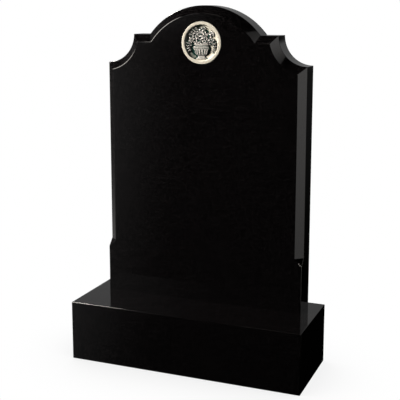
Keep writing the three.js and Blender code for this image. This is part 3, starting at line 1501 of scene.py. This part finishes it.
@dataclass(frozen=True)
class DishPaintedShadow:
    """Where shadow is painted into the dish: beside the urn, below left and up the left wall."""

    right: Range = (0.13, 0.03)
    left: Range = (0.2, 0.04)
    far_left: Range = (-0.2, -0.45)
    below: Range = (0.0, -0.25)
    wall_heights: Range = (0.00195, 0.0014)
    wall_side: Range = (0.0, 0.5)
    wall_lean: float = 0.3
    wall_share: float = 0.25
    share: float = 0.4


@dataclass(frozen=True)
class HeartForm:
    """A flower's domed heart and its beads, in shares of the flower's size and height."""

    rose_width: float = 0.2
    open_width: float = 0.3
    height: float = 0.92
    core_steps: tuple[int, int] = (16, 8)
    bead_steps: tuple[int, int] = (6, 4)
    bead_count: int = 13
    bead_spread: float = 0.85
    bead_size: float = 0.22
    bead_base: float = 0.7
    bead_dome: float = 0.2


@dataclass(frozen=True)
class FanForm:
    """The plain leaves behind the flowers, in shares of the dish's radius and of the relief."""

    x: float = 0.0
    y: float = -0.1
    count: int = 19
    root: float = 0.5
    turn: float = 0.1
    reach: float = 0.3
    girth: float = 0.15
    height: float = 0.45
    unevenness: float = 0.12
    seed: int = 7
    foot: float = -0.12


@dataclass(frozen=True)
class Trumpet:
    """A flower seen from the side, in shares of the dish's radius, its own length or the relief."""

    x: float = 0.4
    y: float = 0.34
    angle: float = 0.68
    length: float = 0.42
    height: float = 0.75
    tube_length: float = 0.8
    girth: float = 0.36
    mouth: float = 0.5
    lip_length: float = 0.5
    lip_height: float = 0.9
    lip_splay: float = 0.8


@dataclass(frozen=True)
class GroundForm:
    """The low uneven ground behind the bouquet, painted dark as shade between the flowers, in shares
    of the dish's radius.
    """

    x: float = -0.03
    y: float = 0.36
    reach: float = 0.5
    widening: float = 1.12
    lower_squash: float = 0.82
    scallops: tuple[tuple[int, float, float], ...] = ((5, 1.0, 0.05), (11, 0.0, 0.04))
    swell: float = 0.22
    swell_power: int = 6
    ripple: float = 0.03
    ripple_across: float = 23.0
    ripple_up: float = 19.0
    least_height: float = 0.02
    steps_round: int = 96
    rings: int = 14

    def edge(self, angle: float) -> float:
        """Return how far the scalloped edge lies from the middle, before it is widened."""
        waves = (depth * math.sin(count * angle + turn) for count, turn, depth in self.scallops)
        return self.reach + sum(waves)

    def height(self, x: float, y: float, share: float) -> float:
        """Work out the ground's height.

        Args:
            x: The place across.
            y: The place up.
            share: How far out the place lies, from the middle to the edge.

        Returns:
            The height as a share of the relief's.
        """
        ripple = self.ripple * math.sin(self.ripple_across * x) * math.sin(self.ripple_up * y)
        return max(self.least_height, self.swell * (1 - share**self.swell_power) + ripple)


@dataclass
class FlowerMedallion:
    """The round cast medallion: a rim, a hollow dish, an urn and its bouquet in relief."""

    radius: float
    middle: Vector
    thickness: float = 0.014
    proud: float = 0.002
    rim_width: float = 0.011
    rim_round: float = 0.0016
    lip_width: float = 0.0032
    lip_depth: float = 0.0014
    dish_depth: float = 0.008
    cove_width: float = 0.013
    relief_height: float = 0.007
    relief_root: float = 0.002
    back_arris: float = 0.0008
    steps_round: int = 192
    rim_steps: int = 6
    lip_steps: int = 4
    cove_steps: int = 14
    floor_rings: int = 24
    painted_shadow: DishPaintedShadow = field(default_factory=DishPaintedShadow)
    ground: GroundForm = field(default_factory=GroundForm)
    urn: UrnForm = field(default_factory=UrnForm)
    fan: FanForm = field(default_factory=FanForm)
    heart: HeartForm = field(default_factory=HeartForm)
    trumpet: Trumpet = field(default_factory=Trumpet)
    petal_fullness: float = 2.7
    petal_heights: Range = (0.66, 0.93)
    petal_unevenness: float = 0.1
    inner_shrink: float = 0.75
    fewest_petals: int = 3
    seeds_apart: int = 10
    spray_girth: float = 0.5
    spray_splay: float = 0.8
    spray_tip: float = 0.7
    dish_radius: float = field(init=False)
    dish_floor: float = field(init=False)

    def __post_init__(self) -> None:
        """Work out the dish from the rim."""
        self.dish_radius = self.radius - self.rim_width
        self.dish_floor = self.proud - self.dish_depth

    def disc_profile(self) -> list[tuple[float, float]]:
        """Draw the section of the disc.

        Returns:
            Radius and height, from the middle of the back round to the dish's middle.
        """
        back = self.proud - self.thickness
        rows = [
            (0.0, back),
            (self.radius / 2, back),
            (self.radius - self.back_arris, back),
            (self.radius, back + self.back_arris),
        ]
        for step in range(self.rim_steps + 1):
            angle = step / self.rim_steps * QUARTER_TURN
            rows.append((
                self.radius - self.rim_round * (1 - math.cos(angle)),
                self.proud - self.rim_round * (1 - math.sin(angle)),
            ))
        rows.append((self.radius - self.rim_width / 2, self.proud))
        for step in range(self.lip_steps + 1):
            angle = step / self.lip_steps * QUARTER_TURN
            rows.append((
                self.dish_radius + self.lip_width * (1 - math.sin(angle)),
                self.proud - self.lip_depth * (1 - math.cos(angle)),
            ))
        cove_depth = self.dish_depth - self.lip_depth
        for step in range(1, self.cove_steps + 1):
            angle = step / self.cove_steps * QUARTER_TURN
            rows.append((
                self.dish_radius - self.cove_width * (1 - math.cos(angle)),
                self.proud - self.lip_depth - cove_depth * math.sin(angle),
            ))
        flat = self.dish_radius - self.cove_width
        for step in range(1, self.floor_rings + 1):
            rows.append((flat * (1 - step / self.floor_rings), self.dish_floor))
        return rows

    def dish_painted_shadow(self, place: Vector) -> float:
        """Work out how much shadow is painted into the dish: beside the urn, below and at the left.

        Args:
            place: A point of the disc.

        Returns:
            The hollow mask there, as painted shadow.
        """
        painted_shadow = self.painted_shadow
        x, y = place.x / self.dish_radius, place.y / self.dish_radius
        # Painted shadow: the rim's shadow up the left wall, the urn's beside it on both sides, and
        # shade below left.
        leftward = ease(painted_shadow.wall_lean * y - x, painted_shadow.wall_side)
        wall = ease(place.z, painted_shadow.wall_heights) * leftward * painted_shadow.share
        if place.z > self.proud - self.dish_depth * painted_shadow.wall_share:
            return wall
        side = self.urn.clearance(x, y)
        right = ease(side, painted_shadow.right) if x > self.urn.x else 0.0
        left = ease(side, painted_shadow.left) if x < self.urn.x else 0.0
        low_left = ease(x, painted_shadow.far_left) * ease(y, painted_shadow.below) * painted_shadow.share
        return max(right, left, low_left, wall)

    def disc(self) -> bpy.types.Mesh:
        """Turn the disc, with its rim and its dish.

        Returns:
            The disc's mesh.
        """
        draft = Draft(FINE_GRID)
        rings = []
        for radius, height in self.disc_profile():
            ring = []
            for step in range(self.steps_round):
                angle = FULL_TURN * step / self.steps_round
                ring.append((radius * math.cos(angle), radius * math.sin(angle), height))
            rings.append(ring)
        for near, far in zip(rings, rings[1:]):
            draft.strip(near, far)
        mesh = draft.mesh("disc")
        # The disc's hollow mask is painted shadow.
        paint(mesh, lambda place: (0.0, self.dish_painted_shadow(place)))
        return mesh

    def urn_body(self) -> bpy.types.Mesh:
        """Turn the urn as half a vase, flattened into the dish, with gadroons round its bowl.

        Returns:
            The urn's mesh.
        """
        form = self.urn
        half_steps = form.steps_round // 2
        depth = form.thickness * self.relief_height / form.band_girth
        draft = Draft(FINE_GRID)
        rows, hollows = [], {}
        for height, girth, gadroon in form.profile():
            row = []
            for step in range(half_steps + 1):
                angle = math.pi * step / half_steps
                lobe = abs(math.sin(angle * form.gadroons / 2))
                groove = (1 - lobe**form.lobe_power) * gadroon
                reach = girth * (1 - form.gadroon_depth * groove)
                place = (
                    (form.x + reach * math.cos(angle)) * self.dish_radius,
                    height * self.dish_radius,
                    self.dish_floor + reach * math.sin(angle) ** form.fullness * depth,
                )
                row.append(place)
                # Painted shade, along with the patina: dark in the gadroons' grooves, on the flanks
                # where the urn meets the dish, and in the lines round the band and the foot.
                flank = ease(abs(math.cos(angle)), form.flank)
                band = form.line_depth * form.line(height)
                dark = groove**form.groove_power * form.groove_dark
                hollows[draft.point(place)] = min(1.0, dark + flank + band)
            root = self.dish_floor - self.relief_root
            row = [(row[0][0], row[0][1], root), *row, (row[-1][0], row[-1][1], root)]
            rows.append(row)
        for near, far in zip(rows, rows[1:]):
            draft.strip(near, far)
        draft.face(rows[0])
        draft.face(rows[-1])
        mesh = draft.mesh("urn")
        paint(mesh, lambda place: (form.silvering, 0.0))
        # Points below the relief, where it meets the dish, get full painted shade.
        values = [hollows.get(i, 1.0) for i in range(len(mesh.vertices))]
        mesh.attributes["hollow"].data.foreach_set("value", values)
        return mesh

    def placed(self, mesh: bpy.types.Mesh, x: float, y: float) -> bpy.types.Mesh:
        """Move a mesh to its place in the dish.

        Args:
            mesh: The mesh, drawn round its own root.
            x: The place across, as a share of the dish's radius.
            y: The place up, as a share of the dish's radius.

        Returns:
            The same mesh.
        """
        shift = (x * self.dish_radius, y * self.dish_radius, self.dish_floor)
        mesh.transform(Matrix.Translation(shift))
        return mesh

    def flower(
        self, plan: Flower, number: int, trees: Trees, finish: bpy.types.Material
    ) -> list[bpy.types.Mesh]:
        """Build one flower: rings of petals, each smaller and higher, round a beaded heart.

        Args:
            plan: The flower's place and size.
            number: Its number, which seeds what is uneven in it.
            trees: The geometry trees by name.
            finish: The medallion's material.

        Returns:
            The flower's meshes, in their places.
        """
        size = plan.size * self.dish_radius
        height = plan.height * self.relief_height
        parts = []
        for ring in range(plan.rings):
            inward = ring / plan.rings
            count = max(self.fewest_petals, plan.petals - 2 * ring)
            reach = size * (1 - self.inner_shrink * inward)
            parts.append(run_tree(
                f"petals_{number}_{ring}",
                PETALS[plan.kind].mesh(),
                trees["ring"],
                {
                    "Count": count,
                    "Turn": plan.turn + ring * math.pi / count,
                    "Reach": reach,
                    "Girth": reach * self.petal_fullness / count,
                    "Height": height * between(*self.petal_heights, inward),
                    "Unevenness": self.petal_unevenness,
                    "Seed": number * self.seeds_apart + ring,
                    "Finish": finish,
                },
            ))
        form = self.heart
        width = size * (form.rose_width if plan.kind is Bloom.ROSE else form.open_width)
        core = bead_mesh("core", *form.core_steps)
        core.transform(Matrix.Diagonal((width, width, height * form.height, 1.0)))
        parts.append(core)
        parts.append(run_tree(
            f"heart_{number}",
            bead_mesh("bead", *form.bead_steps),
            trees["seeds"],
            {
                "Count": form.bead_count,
                "Radius": width * form.bead_spread,
                "Bead": width * form.bead_size,
                "Base Height": height * form.bead_base,
                "Dome": height * form.bead_dome,
                "Finish": finish,
            },
        ))
        return [self.placed(part, plan.x, plan.y) for part in parts]

    def spray(
        self, plan: Spray, number: int, trees: Trees, finish: bpy.types.Material
    ) -> bpy.types.Mesh:
        """Build a spray of leaves along its bowed stem.

        Args:
            plan: The spray's place, course and size.
            number: Its number.
            trees: The geometry trees by name.
            finish: The medallion's material.

        Returns:
            The spray's mesh, in its place.
        """
        half_length = plan.length * self.dish_radius / 2
        middle = unit_vector(plan.angle) * half_length
        end = middle + unit_vector(plan.angle + plan.bend) * half_length
        mesh = run_tree(
            f"spray_{number}",
            LEAF.mesh(),
            trees["spray"],
            {
                "Middle": middle,
                "End": end,
                "Count": plan.pairs,
                "Leaf": plan.leaf * self.dish_radius,
                "Girth": self.spray_girth,
                "Height": plan.height * self.relief_height,
                "Splay": self.spray_splay,
                "Tip Size": self.spray_tip,
                "Finish": finish,
            },
        )
        return self.placed(mesh, plan.x, plan.y)

    def leaf_fan(self, trees: Trees, finish: bpy.types.Material) -> bpy.types.Mesh:
        """Build the plain leaves that fan out behind the flowers, above the urn only.

        Args:
            trees: The geometry trees by name.
            finish: The medallion's material.

        Returns:
            The fan's mesh, in its place.
        """
        form = self.fan
        mesh = run_tree(
            "leaf_fan",
            LEAF.mesh(),
            trees["ring"],
            {
                "Count": form.count,
                "Root Radius": form.root * self.dish_radius,
                "Turn": form.turn,
                "Reach": form.reach * self.dish_radius,
                "Girth": form.girth * self.dish_radius,
                "Height": form.height * self.relief_height,
                "Unevenness": form.unevenness,
                "Seed": form.seed,
                "Finish": finish,
            },
        )
        drawn = bmesh.new()
        drawn.from_mesh(mesh)
        foot = form.foot * self.dish_radius
        waiting = [corner for corner in drawn.verts if corner.co.y < foot]
        low_leaves = set()
        while waiting:
            corner = waiting.pop()
            if corner not in low_leaves:
                low_leaves.add(corner)
                waiting.extend(edge.other_vert(corner) for edge in corner.link_edges)
        bmesh.ops.delete(drawn, geom=list(low_leaves), context="VERTS")
        drawn.to_mesh(mesh)
        drawn.free()
        return self.placed(mesh, form.x, form.y)

    def side_flower(self, finish: bpy.types.Material) -> list[bpy.types.Mesh]:
        """Build the flower seen from the side: a tube and three flared petals.

        Args:
            finish: The medallion's material.

        Returns:
            The flower's meshes, in their places.
        """
        plan = self.trumpet
        length = plan.length * self.dish_radius
        girth = plan.girth * length
        height = plan.height * self.relief_height
        tube = PETALS[Bloom.BUD].mesh()
        tube.transform(Matrix.Diagonal((length * plan.tube_length, girth, height, 1.0)))
        tube.transform(Matrix.Rotation(plan.angle, 4, "Z"))
        parts = [tube]
        for side in (-1, 0, 1):
            lip = PETALS[Bloom.LILY].mesh()
            size = (length * plan.lip_length, girth, height * plan.lip_height, 1.0)
            lip.transform(Matrix.Diagonal(size))
            lip.transform(Matrix.Rotation(plan.angle + side * plan.lip_splay, 4, "Z"))
            lip.transform(Matrix.Translation(unit_vector(plan.angle) * length * plan.mouth))
            parts.append(lip)
        for part in parts:
            part.materials.append(finish)
        return [self.placed(part, plan.x, plan.y) for part in parts]

    def backing(self) -> bpy.types.Mesh:
        """Build the low uneven ground behind the bouquet, painted all dark as patina and painted
        shade between the flowers.

        Returns:
            The ground's mesh.
        """
        form = self.ground
        draft = Draft(FINE_GRID)
        rows = []
        for ring in range(form.rings + 1):
            share = ring / form.rings
            row = []
            for step in range(form.steps_round):
                angle = FULL_TURN * step / form.steps_round
                reach = form.edge(angle) * share
                squash = form.lower_squash if math.sin(angle) < 0 else 1.0
                x = form.x + reach * form.widening * math.cos(angle)
                y = form.y + reach * math.sin(angle) * squash
                row.append((
                    x * self.dish_radius,
                    y * self.dish_radius,
                    self.dish_floor + form.height(x, y, share) * self.relief_height,
                ))
            rows.append(row)
        for near, far in zip(rows, rows[1:]):
            draft.strip(near, far)
        foot = [(x, y, self.dish_floor - self.relief_root) for x, y, _ in rows[-1]]
        draft.strip(rows[-1], foot)
        draft.face(foot)
        mesh = draft.mesh("backing")
        # Painted shade, along with the patina: the whole ground is dark between the flowers.
        paint(mesh, lambda place: (1.0, 1.0))
        return mesh

    def build(self, finish: bpy.types.Material) -> bpy.types.Object:
        """Build the whole medallion as one cast piece.

        Args:
            finish: The medallion's material.

        Returns:
            The finished piece.
        """
        trees = {"ring": ring_tree(), "seeds": seed_head_tree(), "spray": spray_tree()}
        parts = [self.disc(), self.backing(), self.urn_body(), self.leaf_fan(trees, finish)]
        for number, plan in enumerate(FLOWERS):
            parts.extend(self.flower(plan, number, trees, finish))
        for number, plan in enumerate(SPRAYS):
            parts.append(self.spray(plan, number, trees, finish))
        parts.extend(self.side_flower(finish))
        mesh = join_meshes("flower_medallion", parts)
        mesh.transform(Matrix.Rotation(math.pi / 2, 4, "X"))
        mesh.transform(Matrix.Translation(self.middle))
        piece = new_object("flower_medallion", mesh, finish)
        hand_over(piece, "medallion")
        return piece


def unit_vector(angle: float) -> Vector:
    """Return the unit vector at an angle across the dish."""
    return Vector((math.cos(angle), math.sin(angle), 0))


def bead_mesh(name: str, round_steps: int, up_steps: int) -> bpy.types.Mesh:
    """Make a round bead of unit radius, with its masks.

    Args:
        name: The mesh's name.
        round_steps: The facets round it.
        up_steps: The facets from its foot to its head.

    Returns:
        The bead's mesh, with painted shade in its lower part.
    """
    crown, foot_dark = 0.2, 0.8
    draft = Draft()
    rows = []
    for i in range(up_steps + 1):
        angle = math.pi * i / up_steps - QUARTER_TURN
        row = []
        for j in range(round_steps):
            turn = FULL_TURN * j / round_steps
            row.append((
                math.cos(angle) * math.cos(turn),
                math.cos(angle) * math.sin(turn),
                math.sin(angle),
            ))
        rows.append(row)
    for near, far in zip(rows, rows[1:]):
        draft.strip(near, far)
    mesh = draft.mesh(name)
    # Painted shade: the bead is dark below its crown.
    paint(mesh, lambda place: (1.0, 0.0 if place.z > crown else foot_dark))
    return mesh


def join_meshes(name: str, parts: Sequence[bpy.types.Mesh]) -> bpy.types.Mesh:
    """Join several meshes, with their masks, and drop the parts.

    Args:
        name: The joined mesh's name.
        parts: The meshes to join.

    Returns:
        One mesh, shaded smooth, whose faces all use the first material.
    """
    whole = bmesh.new()
    for part in parts:
        whole.from_mesh(part)
    for face in whole.faces:
        face.material_index = 0
        face.smooth = True
    mesh = bpy.data.meshes.new(name)
    whole.to_mesh(mesh)
    whole.free()
    for part in parts:
        bpy.data.meshes.remove(part)
    return mesh


# The studio


def end_in_glow(sheet: NodeSheet, tint: Colour, glow: object) -> None:
    """End a material's sheet in plain light.

    Args:
        sheet: The material's sheet.
        tint: The light's colour.
        glow: How bright it is.
    """
    light = sheet.add("ShaderNodeEmission", {0: opaque(tint), 1: glow})
    sheet.add("ShaderNodeOutputMaterial", {0: light.outputs[0]})


def hang_card(
    material: bpy.types.Material, corners: Sequence[Point], place: Vector, facing: Vector
) -> bpy.types.Object:
    """Hang a lit card that only the polish can see.

    Args:
        material: The card's own glowing material, which also names it.
        corners: Its corners, drawn flat round its own origin.
        place: Where its origin hangs.
        facing: The way that it faces.

    Returns:
        The card's object.
    """
    draft = Draft()
    draft.face(corners)
    card = new_object(material.name, draft.mesh(material.name), material)
    card.location = place
    card.rotation_mode = "QUATERNION"
    card.rotation_quaternion = facing.to_track_quat("Z", "Y")
    card.visible_camera = False
    card.visible_diffuse = False
    card.visible_shadow = False
    return card


@dataclass(frozen=True)
class Card:
    """An upright sheet of light with a slanted head, brightest at a height of its own."""

    name: str
    middle: Point
    facing: Point
    width: float
    foot: float
    near_head: float
    far_head: float
    low_glow: float
    high_glow: float
    peak_glow: float
    peak_height: float
    fade_height: float
    tint: Colour = (1.0, 0.97, 0.95)

    def build(self) -> bpy.types.Object:
        """Hang the card, with a glow that rises to its peak and fades above it.

        Returns:
            The card's object.
        """
        material, sheet = new_material(self.name)
        place = sheet.add("ShaderNodeTexCoord").outputs["Object"]
        up = sheet.add("ShaderNodeSeparateXYZ", {0: place}).outputs[1]
        rising = sheet.ramp(up, (self.foot, self.peak_height), (self.low_glow, self.peak_glow))
        fall = self.high_glow - self.peak_glow
        fading = sheet.ramp(up, (self.peak_height, self.fade_height), (0.0, fall))
        end_in_glow(sheet, self.tint, sheet.math("ADD", rising, fading))
        wide = self.width / 2
        corners = [
            (-wide, self.foot, 0),
            (wide, self.foot, 0),
            (wide, self.near_head, 0),
            (-wide, self.far_head, 0),
        ]
        return hang_card(material, corners, Vector(self.middle), Vector(self.facing))


@dataclass(frozen=True)
class Halo:
    """A round light with a soft edge, which draws the bright lines along the arrises."""

    name: str
    direction: Point
    distance: float
    half_angle: float
    glow: float
    aim: Point
    core: float = 0.7
    tint: Colour = (1.0, 0.94, 0.86)

    def build(self) -> bpy.types.Object:
        """Hang the light, aimed at its point.

        Returns:
            The light's object.
        """
        radius = self.distance * math.tan(self.half_angle)
        material, sheet = new_material(self.name)
        place = sheet.add("ShaderNodeTexCoord").outputs["Object"]
        reach = sheet.add("ShaderNodeVectorMath", {0: place}, operation="LENGTH").outputs["Value"]
        glow = sheet.ramp(reach, (radius * self.core, radius), (self.glow, 0.0))
        end_in_glow(sheet, self.tint, glow)
        corners = [
            (-radius, -radius, 0),
            (radius, -radius, 0),
            (radius, radius, 0),
            (-radius, radius, 0),
        ]
        away = Vector(self.direction).normalized()
        return hang_card(material, corners, Vector(self.aim) + away * self.distance, -away)


@dataclass(frozen=True)
class Lamp:
    """A round softbox."""

    name: str
    direction: Point
    distance: float
    radius: float
    glow: float
    aim: Point
    tint: Colour = (1.0, 0.96, 0.9)

    def build(self) -> bpy.types.Object:
        """Set the lamp up, aimed at its point and unseen in the polish.

        Returns:
            The lamp's object.
        """
        data = bpy.data.lights.new(self.name, "AREA")
        data.shape = "DISK"
        data.size = 2 * self.radius
        data.energy = self.glow * (math.pi * self.radius) ** 2
        data.color = self.tint
        lamp = bpy.data.objects.new(self.name, data)
        bpy.context.scene.collection.objects.link(lamp)
        away = Vector(self.direction).normalized()
        lamp.location = Vector(self.aim) + away * self.distance
        lamp.rotation_mode = "QUATERNION"
        lamp.rotation_quaternion = away.to_track_quat("Z", "Y")
        lamp.visible_camera = False
        lamp.visible_glossy = False
        return lamp


STONE_HEAD = (0.0, 0.03, 1.0)
KEY_WAY = (-0.8, -0.42, 0.43)
KEY = Lamp(
    name="key",
    direction=KEY_WAY,
    distance=3.2,
    radius=0.3,
    glow=255.0,
    aim=STONE_HEAD,
)
HALOS = (
    Halo(
        name="key_halo",
        direction=KEY_WAY,
        distance=3.2,
        half_angle=math.radians(18.5),
        glow=10.0,
        aim=STONE_HEAD,
    ),
    Halo(
        name="back_halo",
        direction=(-0.67, 0.5, 0.6),
        distance=3.2,
        half_angle=math.radians(8.5),
        glow=135.0,
        aim=STONE_HEAD,
        core=0.1,
    ),
    Halo(
        name="sky_halo",
        direction=(-0.2, -0.6, 0.77),
        distance=3.2,
        half_angle=math.radians(9),
        glow=0.8,
        aim=STONE_HEAD,
    ),
    Halo(
        name="stop_halo",
        direction=(0.605, -0.55, 0.57),
        distance=1.2,
        half_angle=math.radians(7),
        glow=17.0,
        aim=(0.35, 0.03, 0.38),
    ),
    Halo(
        name="corner_halo",
        direction=(0.72, 0.62, -0.2),
        distance=2.3,
        half_angle=math.radians(19),
        glow=1.9,
        aim=(0.354, 0.03, 0.33),
        core=0.0,
    ),
)
CARDS = (
    Card(
        name="right_card",
        middle=(2.0, -0.8, 0.0),
        facing=(-1.0, 0.35, 0.0),
        width=1.1,
        foot=-0.4,
        near_head=4.75,
        far_head=1.07,
        low_glow=0.62,
        peak_glow=1.1,
        high_glow=0.35,
        peak_height=1.15,
        fade_height=3.6,
    ),
    Card(
        name="left_card",
        middle=(-2.0, 0.75, 0.0),
        facing=(1.0, -0.4, 0.0),
        width=1.3,
        foot=-0.3,
        near_head=1.3,
        far_head=1.3,
        low_glow=0.37,
        peak_glow=0.05,
        high_glow=0.04,
        peak_height=0.45,
        fade_height=1.3,
    ),
)


@dataclass(frozen=True)
class Studio:
    """The pale floor, the bright surround, the lights and the camera."""

    backdrop: float = 1.0
    ambient: float = 0.012
    back_glow: float = 0.25
    back_sides: Range = (0.0, 0.3)
    back_horizon: Range = (-0.09, 0.0)
    back_footing: Range = (-0.3, -0.06)
    back_foot_shares: Range = (0.004, 0.09)
    back_head: Range = (0.5, 0.85)
    back_right_end: Range = (0.262, 0.295)
    back_left_end: Range = (-0.75, -0.5)
    back_left_share: float = 0.35
    left_glow: float = 0.36
    left_start: Range = (0.38, 0.5)
    left_front: Range = (0.3, 0.6)
    left_heights: Range = (-0.5, 0.0)
    left_crest: Range = (-0.05, 0.0)
    left_lean: float = 0.06
    left_low_share: float = 0.4
    left_power: float = 2.0
    floor_size: float = 40.0
    floor_shade: float = 0.87
    floor_shelter: Range = (0.4, 1.0)
    shade_reach: float = 0.3
    shade_samples: int = 16
    camera_place: Point = (1.0802, -2.6561, 1.2052)
    camera_pan: float = 0.38355
    camera_tilt: float = 0.17421
    focal_pixels: float = 875.62
    sensor: float = 36.0
    shift_up: float = -0.1

    def world(self) -> None:
        """Make the surround: white to the eye, dim to matt faces, and grey in the polish."""
        world = bpy.data.worlds.new("studio")
        world.use_nodes = True
        bpy.context.scene.world = world
        sheet = NodeSheet(world.node_tree)
        path = sheet.add("ShaderNodeLightPath").outputs
        along = sheet.add("ShaderNodeTexCoord").outputs["Generated"]
        x, y, z = sheet.add("ShaderNodeSeparateXYZ", {0: along}).outputs
        upright = sheet.math(
            "MAXIMUM",
            sheet.ramp(z, self.back_horizon),
            sheet.ramp(z, self.back_footing, self.back_foot_shares),
        )
        grey_wall = sheet.product(
            sheet.ramp(y, self.back_sides),
            upright,
            sheet.ramp(z, self.back_head, (1.0, 0.0)),
            sheet.ramp(x, self.back_right_end, (1.0, 0.0)),
            sheet.ramp(x, self.back_left_end, (self.back_left_share, 1.0)),
            self.back_glow,
        )
        lean = sheet.ramp(z, self.left_crest, (0.0, self.left_lean))
        leftward = sheet.ramp(sheet.math("SUBTRACT", lean, x), self.left_start, blend="LINEAR")
        frontward = sheet.ramp(sheet.math("MULTIPLY", y, -1.0), self.left_front)
        dim_side = sheet.product(
            sheet.math("POWER", leftward, self.left_power),
            frontward,
            sheet.ramp(z, self.left_heights, (self.left_low_share, 1.0)),
            self.left_glow,
        )
        glow = sheet.math("ADD", grey_wall, dim_side)
        strength = sheet.choose(path["Is Glossy Ray"], self.ambient, glow)
        seen = sheet.choose(path["Is Camera Ray"], strength, self.backdrop)
        light = sheet.add("ShaderNodeBackground", {0: opaque(WHITE), 1: seen})
        sheet.add("ShaderNodeOutputWorld", {0: light.outputs[0]})

    def floor(self) -> None:
        """Lay the white floor, shaded softly where the stone stands on it."""
        material, sheet = new_material("pale_floor")
        shelter = sheet.add(
            "ShaderNodeAmbientOcclusion",
            {"Distance": self.shade_reach},
            samples=self.shade_samples,
        ).outputs["AO"]
        bright = sheet.ramp(shelter, self.floor_shelter, (self.floor_shade, 1.0))
        end_in_glow(sheet, WHITE, bright)
        half = self.floor_size / 2
        draft = Draft()
        draft.face([(-half, -half, 0), (half, -half, 0), (half, half, 0), (-half, half, 0)])
        floor = new_object("floor", draft.mesh("floor"), material)
        floor.visible_glossy = False
        floor.visible_diffuse = False

    def camera(self) -> None:
        """Set the camera at the photograph's viewing angle."""
        data = bpy.data.cameras.new("camera")
        data.sensor_width = self.sensor
        data.lens = self.focal_pixels * self.sensor / PHOTO_WIDTH
        data.shift_y = self.shift_up
        camera = bpy.data.objects.new("camera", data)
        bpy.context.scene.collection.objects.link(camera)
        camera.location = self.camera_place
        camera.rotation_euler = (math.pi / 2 - self.camera_tilt, 0, self.camera_pan)
        bpy.context.scene.camera = camera

    def lights(self) -> None:
        """Set up the softbox and the cards that the polish reflects."""
        for light in (KEY, *HALOS, *CARDS):
            light.build()

    def build(self) -> None:
        """Build the whole studio."""
        self.camera()
        self.world()
        self.floor()
        self.lights()
        bpy.context.scene.view_settings.view_transform = "Standard"


def main() -> None:
    """Build the studio and the headstone, piece by piece."""
    logging.basicConfig(level=logging.INFO, format="%(name)s %(message)s")
    Studio().build()
    polished, sawn = POLISHED.build(), SAWN.build()
    BaseBlock(*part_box("base")).build(polished, sawn)
    tablet_low, tablet_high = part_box("tablet")
    low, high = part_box("medallion")
    middle = (low + high) / 2
    radius = (high.x - low.x) / 2
    ArchedTablet(
        low=tablet_low,
        high=tablet_high,
        pocket_radius=radius + MEDALLION_GAP,
        pocket_depth=high.y - tablet_low.y + MEDALLION_GAP,
        pocket_middle=middle.z,
    ).build(polished)
    FlowerMedallion(
        radius=radius,
        middle=Vector((middle.x, tablet_low.y, middle.z)),
        thickness=high.y - low.y,
        proud=tablet_low.y - low.y,
    ).build(CastFinish().build())


if __name__ == "__main__":
    main()
